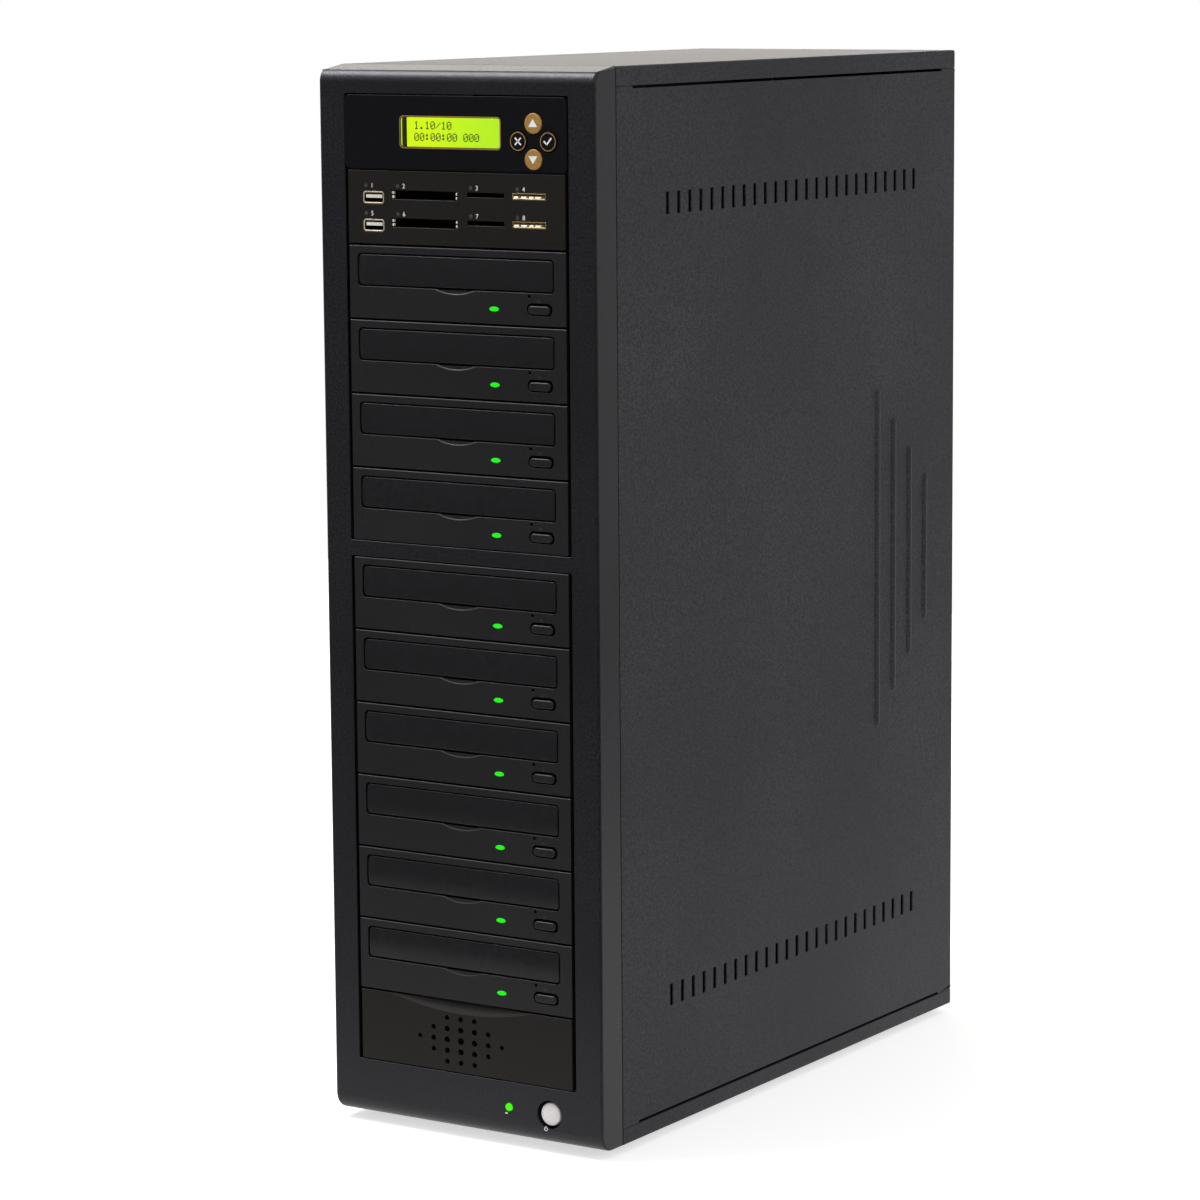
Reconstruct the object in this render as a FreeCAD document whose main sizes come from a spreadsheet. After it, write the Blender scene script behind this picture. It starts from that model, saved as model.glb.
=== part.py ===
"""Disc duplicator tower: a steel case with a moulded front, a controller, a card reader and ten disc drives.

Every piece is drawn in the case frame: X to the right, Y from the face of the front bezel towards the back, Z up
from the underside of the steel base. Each node's Placement then carries it to the part's own frame, whose origin
is on the floor under the middle of the whole object.
"""

import FreeCAD, Part

import math
import os
import re

import Sketcher

UPPER_BAYS = 6
LOWER_BAYS = 7
BLANK_BAY = 0
FIRST_DRIVE_BAY = 10
READER_BAY = 11
CONTROLLER_BAY = 12
DRIVES = 10
SLOTS = 25
RIBS = 4
RIB_SLOPE = 40
GRILLE_ROWS = 8
BLADES = 7
SMALL_SIDES = 8
FOOT_SIDES = 12
KEY_SIDES = 16
BORE_SIDES = 24
DISC_SIDES = 24
VENT_ROWS = (3, 5, 7, 5, 3)
READER_ROWS = (0, 1)
SOCKETS = ("usb", "wide_card", "flat_card", "stick_card")
KEYS = {
    "key_up": ("key_across", "keypad_up + key_spacing"),
    "key_down": ("key_across", "keypad_up - key_spacing"),
    "key_cancel": ("key_across - key_spacing", "keypad_up"),
    "key_confirm": ("key_across + key_spacing", "keypad_up"),
}
EDGE_SIZES = {"Fillet": "Radius", "Chamfer": "Size"}

# Driving sizes in millimetres, each with the piece or fit that it sets.
SIZES = {
    # case
    "body_width": 188.0,
    "body_depth": 416.0,
    "bottom_margin": 34.0,
    "bridge_height": 9.0,
    "top_margin": 16.0,
    "bay_pitch": 42.7,
    "bay_gap": 1.2,
    "bay_width": 152.5,
    "bay_end_gap": 0.7,
    "gauge": 1.0,
    "top_lip": 11.1,
    "bottom_lip": 9.6,
    "lip_gap": 1.6,
    "tongue": 14.0,
    "relief_gap": 0.5,
    "bend_radius": 1.5,
    "rear_flange": 14.0,
    "rail_depth": 177.0,
    "rail_flange": 16.0,
    # front bezel
    "bezel_depth": 22.0,
    "bezel_roll": 11.0,
    "bezel_edge": 1.6,
    "bezel_wall": 3.0,
    # side vents and ribs
    "slot_pitch": 12.0,
    "slot_width": 3.2,
    "slot_length": 12.7,
    "slot_row_inset": 78.0,
    "rib_first": 318.0,
    "rib_pitch": 20.2,
    "rib_width": 6.4,
    "rib_proud": 1.2,
    "rib_length": 212.0,
    "rib_step": 39.7,
    "rib_centre": 304.3,
    # feet
    "foot_height": 5.0,
    "foot_diameter": 18.0,
    "foot_inset_side": 22.0,
    "foot_inset_end": 36.0,
    # disc drives
    "drive_width": 148.2,
    "drive_bezel_depth": 6.0,
    "case_width": 146.0,
    "case_depth": 165.0,
    "case_inset": 0.4,
    "case_wall": 1.0,
    "door_width": 134.4,
    "door_height": 18.8,
    "door_below_top": 4.4,
    "door_offset": 1.25,
    "door_gap": 0.4,
    "door_corner": 1.2,
    "door_depth": 4.0,
    "tray_width": 129.0,
    "tray_thickness": 6.0,
    "tray_length": 150.0,
    "disc_diameter": 121.0,
    "disc_recess": 2.0,
    "disc_margin": 6.0,
    "tray_window_width": 36.0,
    "tray_window_lead": 20.0,
    "tray_back_bar": 12.0,
    "runner_gap": 0.3,
    "runner_lip": 3.0,
    "runner_thickness": 3.0,
    "loader_wall": 4.0,
    "notch_width": 29.4,
    "notch_drop": 3.4,
    "notch_cut": 2.0,
    "eject_across": 56.0,
    "eject_up": 8.7,
    "eject_width": 15.0,
    "eject_height": 5.0,
    "eject_gap": 0.6,
    "eject_corner": 1.4,
    "eject_proud": 0.5,
    "eject_collar": 1.0,
    "lamp_across": 25.6,
    "lamp_up": 8.4,
    "lamp_width": 6.4,
    "lamp_height": 2.6,
    "lamp_fit": 0.1,
    # controller
    "plate_rear": 3.4,
    "panel_width": 151.5,
    "panel_radius": 3.0,
    "panel_proud": 0.6,
    "window_across": -2.7,
    "window_up": 20.95,
    "window_width": 67.4,
    "window_height": 16.7,
    "window_fit": 0.15,
    "window_thickness": 1.5,
    "lcd_setback": 5.4,
    "lcd_depth": 6.0,
    "lcd_border": 3.0,
    "key_across": 53.75,
    "keypad_up": 16.95,
    "key_spacing": 10.0,
    "key_diameter": 11.4,
    "key_gap": 0.3,
    "key_proud": 0.6,
    "key_collar": 1.2,
    "key_notch_margin": 2.0,
    "key_travel_room": 0.7,
    "key_switch_height": 4.4,
    "key_switch_width": 6.0,
    "carrier_depth": 120.0,
    "carrier_drop": 1.0,
    "board_thickness": 1.6,
    "standoff_height": 5.0,
    "standoff_diameter": 6.0,
    "main_board_width": 124.0,
    "main_board_depth": 80.0,
    "main_board_setback": 26.0,
    # card reader
    "reader_proud": 0.2,
    "reader_row_pitch": 15.8,
    "reader_board_up": 4.5,
    "reader_board_depth": 60.0,
    "socket_wall": 0.6,
    "socket_depth": 40.0,
    "card_depth": 30.0,
    "usb_left": -64.0,
    "usb_width": 15.0,
    "usb_up": 6.7,
    "usb_height": 7.4,
    "usb_tongue": 2.0,
    "wide_card_left": -43.6,
    "wide_card_width": 45.0,
    "wide_card_up": 9.7,
    "wide_card_height": 5.1,
    "flat_card_left": 8.1,
    "flat_card_width": 25.2,
    "flat_card_up": 12.0,
    "flat_card_height": 2.7,
    "stick_card_left": 38.8,
    "stick_card_width": 22.5,
    "stick_card_up": 11.4,
    "stick_card_height": 3.8,
    # vented blank panel
    "blank_width": 147.6,
    "scoop_across": -2.5,
    "scoop_width": 100.6,
    "scoop_drop": 6.8,
    "scoop_cut": 2.5,
    "vent_across": -3.5,
    "vent_up": 18.6,
    "vent_pitch_across": 9.6,
    "vent_pitch_up": 6.5,
    "vent_diameter": 4.2,
    "vent_fade": 0.5,
    "blank_arm_length": 36.0,
    "blank_arm_thickness": 1.5,
    # power button and lamp
    "power_across": 58.9,
    "power_up": 18.9,
    "power_diameter": 13.8,
    "power_gap": 0.3,
    "power_proud": 2.2,
    "power_collar": 1.2,
    "power_collar_depth": 1.7,
    "power_travel_room": 1.5,
    "power_switch_width": 12.0,
    "power_lamp_across": 29.6,
    "power_lamp_diameter": 5.0,
    "power_lamp_proud": 0.6,
    # power supply
    "supply_width": 150.0,
    "supply_height": 86.0,
    "supply_depth": 140.0,
    "supply_wall": 1.0,
    "supply_rim": 4.0,
    "supply_fan_across": 30.0,
    "inlet_across": -50.0,
    "inlet_above_floor": 28.0,
    "inlet_width": 28.0,
    "inlet_height": 21.0,
    "inlet_wall": 2.0,
    "inlet_rim": 2.0,
    "inlet_proud": 1.5,
    "inlet_depth": 22.0,
    "inlet_cavity": 16.0,
    "pin_width": 2.0,
    "pin_height": 4.0,
    "pin_length": 10.0,
    "pin_spacing": 7.0,
    "rocker_above_floor": 62.0,
    "rocker_radius": 7.8,
    "rocker_width": 11.0,
    "rocker_gap": 0.3,
    "rocker_throw": 16.0,
    "rocker_face": 4.4,
    "rocker_back": 5.0,
    "switch_wall": 1.6,
    "switch_depth": 18.0,
    # fans
    "fan_size": 80.0,
    "fan_depth": 25.0,
    "fan_bore": 76.4,
    "fan_above_floor": 420.0,
    "fan_hub": 33.0,
    "fan_strut_width": 4.0,
    "fan_strut_depth": 3.0,
    "fan_axial_gap": 0.3,
    "fan_shaft": 5.0,
    "fan_shaft_gap": 0.08,
    "fan_shaft_seat": 2.5,
    "blade_tip_gap": 1.2,
    "blade_chord": 18.0,
    "blade_rise": 14.0,
    "blade_camber": 2.2,
    "blade_thickness": 1.6,
    "grille_radius": 36.0,
    "grille_pitch": 8.0,
    "grille_web": 3.0,
    # screws and loom
    "screw_across_corners": 7.6,
    "screw_head": 2.0,
    "screw_inset": 7.0,
    "fan_screw_pitch": 71.5,
    "plug_depth": 7.0,
    "plug_height": 8.0,
    "loom_thickness": 3.0,
    "data_lead_overlap": 12.0,
    "supply_lead_up": 60.0,
    "data_plug_width": 16.0,
    "data_plug_across": -34.0,
    "power_plug_width": 22.0,
    "power_plug_across": 20.0,
}

# Places and sizes worked out from the driving sizes.
PLACES = {
    "face_height": "bay_pitch - bay_gap",
    "lower_opening": f"{LOWER_BAYS} * bay_pitch - bay_gap + 2 * bay_end_gap",
    "upper_opening": f"{UPPER_BAYS} * bay_pitch - bay_gap + 2 * bay_end_gap",
    "lower_top": "bottom_margin + lower_opening",
    "upper_bottom": "lower_top + bridge_height",
    "upper_top": "upper_bottom + upper_opening",
    "body_height": "upper_top + top_margin",
    "half_width": "body_width / 2",
    "middle_depth": "(body_depth + screw_head - power_proud) / 2",
    "skin_inner": "half_width - gauge",
    "frame_half": "half_width - 2 * gauge",
    "panel_bottom": "bottom_lip + lip_gap",
    "panel_top": "body_height - top_lip - lip_gap",
    "frame_rear": "bezel_depth + gauge",
    "rail_inner": "case_width / 2",
    "rail_rear": "frame_rear + rail_depth",
    "rear_outer": "body_depth - gauge",
    "rear_inner": "body_depth - 2 * gauge",
    "door_bottom": "face_height - door_below_top - door_height",
    "tray_bottom": "door_bottom + (door_height - tray_thickness) / 2",
    "tray_top": "tray_bottom + tray_thickness",
    "disc_middle": "door_depth + disc_margin + disc_diameter / 2",
    "case_floor": "case_inset + case_wall",
    "case_front": "drive_bezel_depth",
    "case_rear": "drive_bezel_depth + case_depth",
    "loader_half": "case_width / 2 - case_wall",
    "runner_half": "tray_width / 2 + runner_gap",
    "eject_rear": "drive_bezel_depth + runner_gap + eject_collar",
    "carrier_half": "case_width / 2 - gauge",
    "carrier_floor": "carrier_drop + gauge",
    "display_front": "lcd_setback + lcd_depth",
    "key_collar_front": "plate_rear + key_gap",
    "key_switch_front": "display_front - key_switch_height",
    "key_rear": "key_switch_front - key_travel_room",
    "power_wall": "bezel_roll",
    "power_collar_front": "power_wall + power_gap",
    "power_rear": "power_collar_front + power_collar_depth",
    "power_switch_front": "power_rear + power_travel_room",
    "supply_front": "rear_inner - supply_depth",
    "supply_top": "gauge + supply_height",
    "supply_fan_up": "gauge + supply_height / 2",
    "supply_fan_rear": "rear_inner - supply_wall",
    "rocker_axis": "rear_inner - rocker_face",
    "fan_motor_front": "fan_depth - fan_strut_depth",
    "rotor_rear": "fan_motor_front - fan_axial_gap",
    "rotor_front": "fan_axial_gap + gauge",
}

doc = FreeCAD.newDocument("disc_duplicator")
nodes = {}


def fill_sheets():
    """Writes the driving sizes and the places worked out from them to two spreadsheets."""
    sizes = doc.addObject("Spreadsheet::Sheet", "Sizes")
    for row, (name, number) in enumerate(SIZES.items(), 1):
        sizes.set(f"A{row}", name)
        sizes.set(f"B{row}", str(number))
        sizes.setAlias(f"B{row}", name)
    places = doc.addObject("Spreadsheet::Sheet", "Places")
    for row, name in enumerate(PLACES, 1):
        places.set(f"A{row}", name)
        places.setAlias(f"B{row}", name)
    for row, formula in enumerate(PLACES.values(), 1):
        places.set(f"B{row}", "=" + cells(formula))
    doc.recompute()
    return sizes


def cells(formula):
    """Names the sheet of each size or place in a formula."""

    def with_sheet(match):
        word = match[0]
        if word in SIZES:
            return "Sizes." + word
        return "Places." + word if word in PLACES else word

    return re.sub(r"[a-z_]{2,}", with_sheet, formula)


def value(formula):
    """The number that a formula gives now."""
    return float(sheet.evalExpression(cells(formula)))


def bind(obj, **formulas):
    """Binds properties to formulas; two underscores in a keyword stand for a dot."""
    for name, formula in formulas.items():
        obj.setExpression(name.replace("__", "."), cells(formula))
    return obj


def place(obj, x="0", y="0", z="0"):
    """Binds an object's position."""
    return bind(obj, Placement__Base__x=x, Placement__Base__y=y, Placement__Base__z=z)


def node(label, obj, x="0", y="0", z="0"):
    """Makes an object a sub-part: names it and carries it from the case frame to the part's frame."""
    obj.Label = label
    place(obj, x, f"{y} - middle_depth", f"{z} + foot_height")
    nodes[label] = obj
    return obj


def new_body(name):
    return doc.addObject("PartDesign::Body", name)


def sketch(body, role, name, offset="0"):
    """A sketch on one of the body's own origin planes, moved along the plane's normal."""
    plane = next(feature for feature in body.Origin.OriginFeatures if feature.Role == role)
    made = body.newObject("Sketcher::SketchObject", name)
    made.AttachmentSupport = (plane, [""])
    made.MapMode = "FlatFace"
    return bind(made, AttachmentOffset__Base__z=offset)


def pin_point(made, geometry, point, across, up):
    """Fixes a point of a sketch at formulas for its distances from the origin."""
    for kind, formula in (("DistanceX", across), ("DistanceY", up)):
        index = made.addConstraint(Sketcher.Constraint(kind, -1, 1, geometry, point, value(formula)))
        made.setExpression(f"Constraints[{index}]", cells(formula))


def polygon(made, points):
    """Draws a closed outline of straight lines through corners given as formulas."""
    first = made.GeometryCount
    corners = [FreeCAD.Vector(value(across), value(up), 0) for across, up in points]
    count = len(corners)
    made.addGeometry([Part.LineSegment(corners[i], corners[(i + 1) % count]) for i in range(count)], False)
    for i in range(count):
        made.addConstraint(Sketcher.Constraint("Coincident", first + i, 2, first + (i + 1) % count, 1))
    for i, (across, up) in enumerate(points):
        pin_point(made, first + i, 1, across, up)


def rectangle(made, left, right, bottom, top, corner=None):
    """Draws a rectangle between formulas for its sides, with its corners cut off if corner is given."""
    if corner is None:
        polygon(made, [(left, bottom), (right, bottom), (right, top), (left, top)])
        return
    polygon(
        made,
        [
            (f"{left} + {corner}", bottom),
            (f"{right} - {corner}", bottom),
            (right, f"{bottom} + {corner}"),
            (right, f"{top} - {corner}"),
            (f"{right} - {corner}", top),
            (f"{left} + {corner}", top),
            (left, f"{top} - {corner}"),
            (left, f"{bottom} + {corner}"),
        ],
    )


def circle(made, across, up, diameter):
    """Draws a circle whose centre and diameter are formulas."""
    centre = FreeCAD.Vector(value(across), value(up), 0)
    index = made.addGeometry(Part.Circle(centre, FreeCAD.Vector(0, 0, 1), value(diameter) / 2), False)
    pin_point(made, index, 3, across, up)
    size = made.addConstraint(Sketcher.Constraint("Diameter", index, value(diameter)))
    made.setExpression(f"Constraints[{size}]", cells(diameter))


def facets(made, across, up, diameter, sides):
    """Draws a regular polygon in place of a circle, on a piece that is small or repeated."""
    corners = []
    for i in range(sides):
        angle = math.pi * (2 * i + 1) / sides
        corners.append(
            (
                f"{across} + {math.cos(angle):.6f} * ({diameter}) / 2",
                f"{up} + {math.sin(angle):.6f} * ({diameter}) / 2",
            )
        )
    polygon(made, corners)


def crescent(made, middle, line, width, drop):
    """Draws the area between a level line and an arc that hangs below its middle."""
    half, sag = value(width) / 2, value(drop)
    left = FreeCAD.Vector(value(middle) - half, value(line), 0)
    right = FreeCAD.Vector(value(middle) + half, value(line), 0)
    low = FreeCAD.Vector(value(middle), value(line) - sag, 0)
    first = made.GeometryCount
    made.addGeometry(Part.LineSegment(right, left), False)
    made.addGeometry(Part.Arc(left, low, right), False)
    pin_point(made, first, 1, f"{middle} + {width} / 2", line)
    pin_point(made, first, 2, f"{middle} - {width} / 2", line)
    made.addConstraint(Sketcher.Constraint("Coincident", first + 1, 1, first, 2))
    made.addConstraint(Sketcher.Constraint("Coincident", first + 1, 2, first, 1))
    radius = f"(({width}) ^ 2 / 4 + ({drop}) ^ 2) / (2 * ({drop}))"
    index = made.addConstraint(Sketcher.Constraint("Radius", first + 1, value(radius)))
    made.setExpression(f"Constraints[{index}]", cells(radius))


def pad(body, profile, length, **options):
    """Pads a sketch along its normal, or as the options say."""
    made = body.newObject("PartDesign::Pad", profile.Name + "_pad")
    made.Profile = profile
    for option, setting in options.items():
        setattr(made, option, setting)
    bind(made, Length=length)
    doc.recompute()
    return made


def pocket(body, profile, length, **options):
    """Cuts a sketch into the body against its normal, and makes sure that it cuts."""
    before = body.Shape.Volume
    made = body.newObject("PartDesign::Pocket", profile.Name + "_cut")
    made.Profile = profile
    for option, setting in options.items():
        setattr(made, option, setting)
    bind(made, Length=length)
    doc.recompute()
    if body.Shape.Volume > before - 1e-6:
        raise RuntimeError(f"{made.Name} cuts nothing")
    return made


def rounded(body, kind, name, size, chosen):
    """Rounds or chamfers the edges of the body that the function chosen picks by their boxes."""
    base = body.Tip
    edges = [f"Edge{i}" for i, edge in enumerate(base.Shape.Edges, 1) if chosen(edge.BoundBox)]
    if not edges:
        raise RuntimeError(f"{name} finds no edges")
    made = body.newObject(f"PartDesign::{kind}", name)
    made.Base = (base, edges)
    bind(made, **{EDGE_SIZES[kind]: size})
    doc.recompute()
    return made


def box(name, left, right, front, rear, bottom, top):
    """A Part box between formulas for its six sides."""
    made = doc.addObject("Part::Box", name)
    bind(made, Length=f"({right}) - ({left})", Width=f"({rear}) - ({front})", Height=f"({top}) - ({bottom})")
    return place(made, left, front, bottom)


def joined(kind, name, base, tool):
    """A Part::Cut, Part::Fuse or Part::Common of two objects."""
    made = doc.addObject(f"Part::{kind}", name)
    made.Base = base
    made.Tool = tool
    return made


def group(name, members):
    """Separate solids that share one node or one cut."""
    made = doc.addObject("Part::Compound", name)
    made.Links = members
    return made


def moved_copy(name, source, x="0", y="0", z="0"):
    """A copy of an object that follows its source, moved by formulas."""
    return place(group(name, [source]), x, y, z)


def bay_floor(bay):
    """The formula for the underside of the face in a bay, counted from the lowest."""
    if bay < LOWER_BAYS:
        return f"(bottom_margin + bay_end_gap + {bay} * bay_pitch)"
    return f"(upper_bottom + bay_end_gap + {bay - LOWER_BAYS} * bay_pitch)"


def drive_bay(number):
    """The bay of a drive, counted from the top as on the front."""
    return FIRST_DRIVE_BAY + 1 - number


def near(a, b):
    return abs(a - b) < 1e-4


def make_front_bezel():
    """The moulded front: rolled top and bottom edges, two bay openings, hollow behind."""
    body = new_body("front_bezel")
    profile = sketch(body, "YZ_Plane", "bezel_section")
    rectangle(profile, "0", "bezel_depth", "0", "body_height")
    pad(body, profile, "body_width", SideType="Symmetric")
    long_edge = value("body_width") / 2
    rounded(body, "Fillet", "bezel_rolls", "bezel_roll", lambda b: b.XLength > long_edge and near(b.YMax, 0))
    rounded(body, "Chamfer", "bezel_sides", "bezel_edge", lambda b: b.ZLength > long_edge and near(b.YMax, 0))
    openings = sketch(body, "XZ_Plane", "bay_openings")
    rectangle(openings, "-bay_width / 2", "bay_width / 2", "bottom_margin", "lower_top")
    rectangle(openings, "-bay_width / 2", "bay_width / 2", "upper_bottom", "upper_top")
    pocket(body, openings, "bezel_depth")
    bores = sketch(body, "XZ_Plane", "power_bores")
    circle(bores, "power_across", "power_up", "power_diameter + 2 * power_gap")
    circle(bores, "power_lamp_across", "power_up", "power_lamp_diameter + 2 * lamp_fit")
    pocket(body, bores, "bezel_depth")
    hollow = sketch(body, "XZ_Plane", "bezel_hollow", "-bezel_depth")
    rim = "half_width - bezel_wall"
    rectangle(hollow, f"-({rim})", rim, "bezel_wall", "body_height - bezel_wall")
    inner = "bay_width / 2 + bezel_wall"
    rectangle(hollow, f"-({inner})", inner, "bottom_margin - bezel_wall", "upper_top + bezel_wall")
    pocket(body, hollow, "bezel_depth - bezel_roll", Reversed=True)
    node("front_bezel", body)


def make_shell():
    """The folded steel case: front frame, cover, pan, side panels, rear panel and bay rails."""
    frame_depth = ("bezel_depth", "frame_rear")
    frame = joined(
        "Cut",
        "front_frame",
        box("frame_plate", "-frame_half", "frame_half", *frame_depth, "gauge", "body_height - gauge"),
        box("frame_mouth", "-bay_width / 2", "bay_width / 2", *frame_depth, "bottom_margin", "upper_top"),
    )
    node("front_frame", frame)

    for label, edge, lip, sign in (
        ("top_cover", "body_height", "top_lip", "-"),
        ("base_pan", "0", "bottom_lip", "+"),
    ):
        body = new_body(label)
        profile = sketch(body, "XZ_Plane", label + "_section", "-bezel_depth")
        right = [
            ("half_width", edge),
            ("half_width", f"{edge} {sign} {lip}"),
            ("skin_inner", f"{edge} {sign} {lip}"),
            ("skin_inner", f"{edge} {sign} ({lip} + tongue)"),
            ("frame_half", f"{edge} {sign} ({lip} + tongue)"),
            ("frame_half", f"{edge} {sign} ({lip} - gauge)"),
            ("skin_inner", f"{edge} {sign} ({lip} - gauge)"),
            ("skin_inner", f"{edge} {sign} gauge"),
        ]
        left = [("-" + across, up) for across, up in reversed(right)]
        polygon(profile, right + left)
        pad(body, profile, "body_depth - bezel_depth", Reversed=True)
        side = value("half_width")
        level = value(edge)
        rounded(
            body,
            "Fillet",
            label + "_bends",
            "bend_radius",
            lambda b: b.YLength > 1 and near(abs(b.XMax), side) and near(b.ZMin, level) and near(b.ZMax, level),
        )
        node(label, body)

    side = new_body("right_side_panel")
    plan = sketch(side, "XY_Plane", "side_plan", "panel_bottom")
    polygon(
        plan,
        [
            ("skin_inner", "bezel_depth"),
            ("half_width", "bezel_depth"),
            ("half_width", "body_depth"),
            ("half_width - rear_flange", "body_depth"),
            ("half_width - rear_flange", "rear_outer"),
            ("skin_inner", "rear_outer"),
        ],
    )
    pad(side, plan, "panel_top - panel_bottom")
    reliefs = sketch(side, "XZ_Plane", "flange_reliefs", "-body_depth")
    for bottom, top in (
        ("panel_bottom", "bottom_lip + tongue + relief_gap"),
        ("body_height - top_lip - tongue - relief_gap", "panel_top"),
    ):
        rectangle(reliefs, "half_width - rear_flange", "skin_inner", bottom, top)
    pocket(side, reliefs, "gauge", Reversed=True)
    slots = sketch(side, "YZ_Plane", "vent_slots", "half_width")
    first = f"(bezel_depth + body_depth) / 2 - {SLOTS // 2} * slot_pitch"
    for middle in ("slot_row_inset", "body_height - slot_row_inset"):
        rectangle(
            slots,
            f"{first} - slot_width / 2",
            f"{first} + slot_width / 2",
            f"{middle} - slot_length / 2",
            f"{middle} + slot_length / 2",
        )
    cut = pocket(side, slots, "2 * gauge")
    pattern = side.newObject("PartDesign::LinearPattern", "vent_rows")
    pattern.Originals = [cut]
    pattern.Direction = (slots, ["H_Axis"])
    pattern.Mode = "Spacing"
    pattern.Occurrences = SLOTS
    bind(pattern, Offset="slot_pitch")
    side.Tip = pattern
    doc.recompute()
    ribs = sketch(side, "YZ_Plane", "ribs", "half_width")
    for i in range(RIBS):
        middle = f"rib_first + {i} * rib_pitch"
        half = f"(rib_length - {i} * rib_step) / 2"
        rectangle(
            ribs,
            f"{middle} - rib_width / 2",
            f"{middle} + rib_width / 2",
            f"rib_centre - {half}",
            f"rib_centre + {half}",
            "rib_width / 3",
        )
    pad(side, ribs, "rib_proud", TaperAngle=-RIB_SLOPE)
    node("right_side_panel", side)
    nodes["left_side_panel"] = mirrored("left_side_panel", side)

    rear = new_body("rear_panel")
    face = sketch(rear, "XZ_Plane", "rear_face", "-rear_inner")
    rectangle(face, "-frame_half", "frame_half", "gauge", "body_height - gauge")
    pad(rear, face, "gauge", Reversed=True)
    cuts = sketch(rear, "XZ_Plane", "rear_cuts", "-rear_inner")
    rectangle(
        cuts,
        "supply_rim - supply_width / 2",
        "supply_width / 2 - supply_rim",
        "gauge + supply_rim",
        "supply_top - supply_rim",
    )
    draw_grille(cuts, "0", "fan_above_floor")
    pocket(rear, cuts, "gauge")
    node("rear_panel", rear)

    rail = new_body("right_bay_rail")
    channel = sketch(rail, "XY_Plane", "rail_plan", "gauge")
    polygon(
        channel,
        [
            ("rail_inner", "frame_rear"),
            ("rail_inner + rail_flange", "frame_rear"),
            ("rail_inner + rail_flange", "frame_rear + gauge"),
            ("rail_inner + gauge", "frame_rear + gauge"),
            ("rail_inner + gauge", "rail_rear - gauge"),
            ("rail_inner + rail_flange", "rail_rear - gauge"),
            ("rail_inner + rail_flange", "rail_rear"),
            ("rail_inner", "rail_rear"),
        ],
    )
    pad(rail, channel, "body_height - 2 * gauge")
    node("bay_rails", group("bay_rails", [rail, mirrored("left_bay_rail", rail)]))


def mirrored(name, source):
    """The other hand of an object, mirrored in the middle plane of the case."""
    made = doc.addObject("Part::Mirroring", name)
    made.Source = source
    made.Normal = FreeCAD.Vector(1, 0, 0)
    made.Label = name
    return made


def draw_grille(made, across, up):
    """Draws level slots that fill a circle, in two columns beside a middle web."""
    for i in range(-GRILLE_ROWS // 2, GRILLE_ROWS // 2):
        bottom = f"{up} + {i} * grille_pitch + grille_web / 2"
        top = f"{up} + {i + 1} * grille_pitch - grille_web / 2"
        far = max(abs(i), abs(i + 1))
        half = f"sqrt(grille_radius ^ 2 - ({far} * grille_pitch) ^ 2)"
        rectangle(made, f"{across} - {half}", f"{across} - grille_web / 2", bottom, top)
        rectangle(made, f"{across} + grille_web / 2", f"{across} + {half}", bottom, top)


def make_feet_and_screws():
    """Four rubber feet, and the hex heads on the back."""
    feet = []
    for across in ("foot_inset_side - half_width", "half_width - foot_inset_side"):
        for depth in ("foot_inset_end", "body_depth - foot_inset_end"):
            foot = doc.addObject("Part::Prism", "foot")
            foot.Polygon = FOOT_SIDES
            bind(foot, Circumradius="foot_diameter / 2", Height="foot_height")
            feet.append(place(foot, across, depth, "-foot_height"))
    node("rubber_feet", group("rubber_feet", feet))

    heads = []
    edge = "half_width - screw_inset"
    for across in (f"-({edge})", edge):
        for up in ("panel_bottom + slot_row_inset", "body_height / 2", "panel_top - slot_row_inset"):
            heads.append(screw(across, "body_depth", up))
    for across in ("-fan_screw_pitch / 2", "fan_screw_pitch / 2"):
        for side in ("-", "+"):
            heads.append(screw(across, "rear_outer", f"fan_above_floor {side} fan_screw_pitch / 2"))
    node("case_screws", group("case_screws", heads))


def screw(across, seat, up):
    """A hex head that stands on a face of the back."""
    head = doc.addObject("Part::Prism", "screw")
    head.Polygon = 6
    head.Placement = FreeCAD.Placement(FreeCAD.Vector(), FreeCAD.Rotation(FreeCAD.Vector(1, 0, 0), -90))
    bind(head, Circumradius="screw_across_corners / 2", Height="screw_head")
    return place(head, across, seat, up)


def make_drives():
    """Ten half-height disc drives, each a bezel, case, loader frame, tray, eject button and lamp."""
    bezel = make_drive_bezel()
    case = new_body("drive_case")
    outer = sketch(case, "XZ_Plane", "case_outer", "-case_front")
    rectangle(outer, "-case_width / 2", "case_width / 2", "case_inset", "face_height - case_inset")
    pad(case, outer, "case_depth", Reversed=True)
    inner = sketch(case, "XZ_Plane", "case_inner", "-case_front")
    rectangle(inner, "-loader_half", "loader_half", "case_floor", "face_height - case_floor")
    pocket(case, inner, "case_depth - case_wall")
    loader = make_loader()
    tray = make_tray()
    door = make_tray_door()
    button = make_eject_button()
    lamp = new_body("drive_lamp")
    lens = sketch(lamp, "XZ_Plane", "lamp_face")
    rectangle(
        lens,
        "lamp_across - lamp_width / 2",
        "lamp_across + lamp_width / 2",
        "lamp_up - lamp_height / 2",
        "lamp_up + lamp_height / 2",
    )
    pad(lamp, lens, "drive_bezel_depth", Reversed=True)

    shared = {"drive_bezels": bezel, "drive_cases": case, "drive_loaders": loader, "drive_lamps": lamp}
    copies = {label: [] for label in shared}
    for number in range(1, DRIVES + 1):
        floor = bay_floor(drive_bay(number))
        for label, source in shared.items():
            copies[label].append(moved_copy(f"{label}_{number:02d}", source, z=floor))
        node(f"tray_{number:02d}", group("tray_and_door", [tray, door]), z=floor)
        node(f"eject_button_{number:02d}", group("eject", [button]), z=floor)
    for label, members in copies.items():
        node(label, group(label, members))


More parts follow.
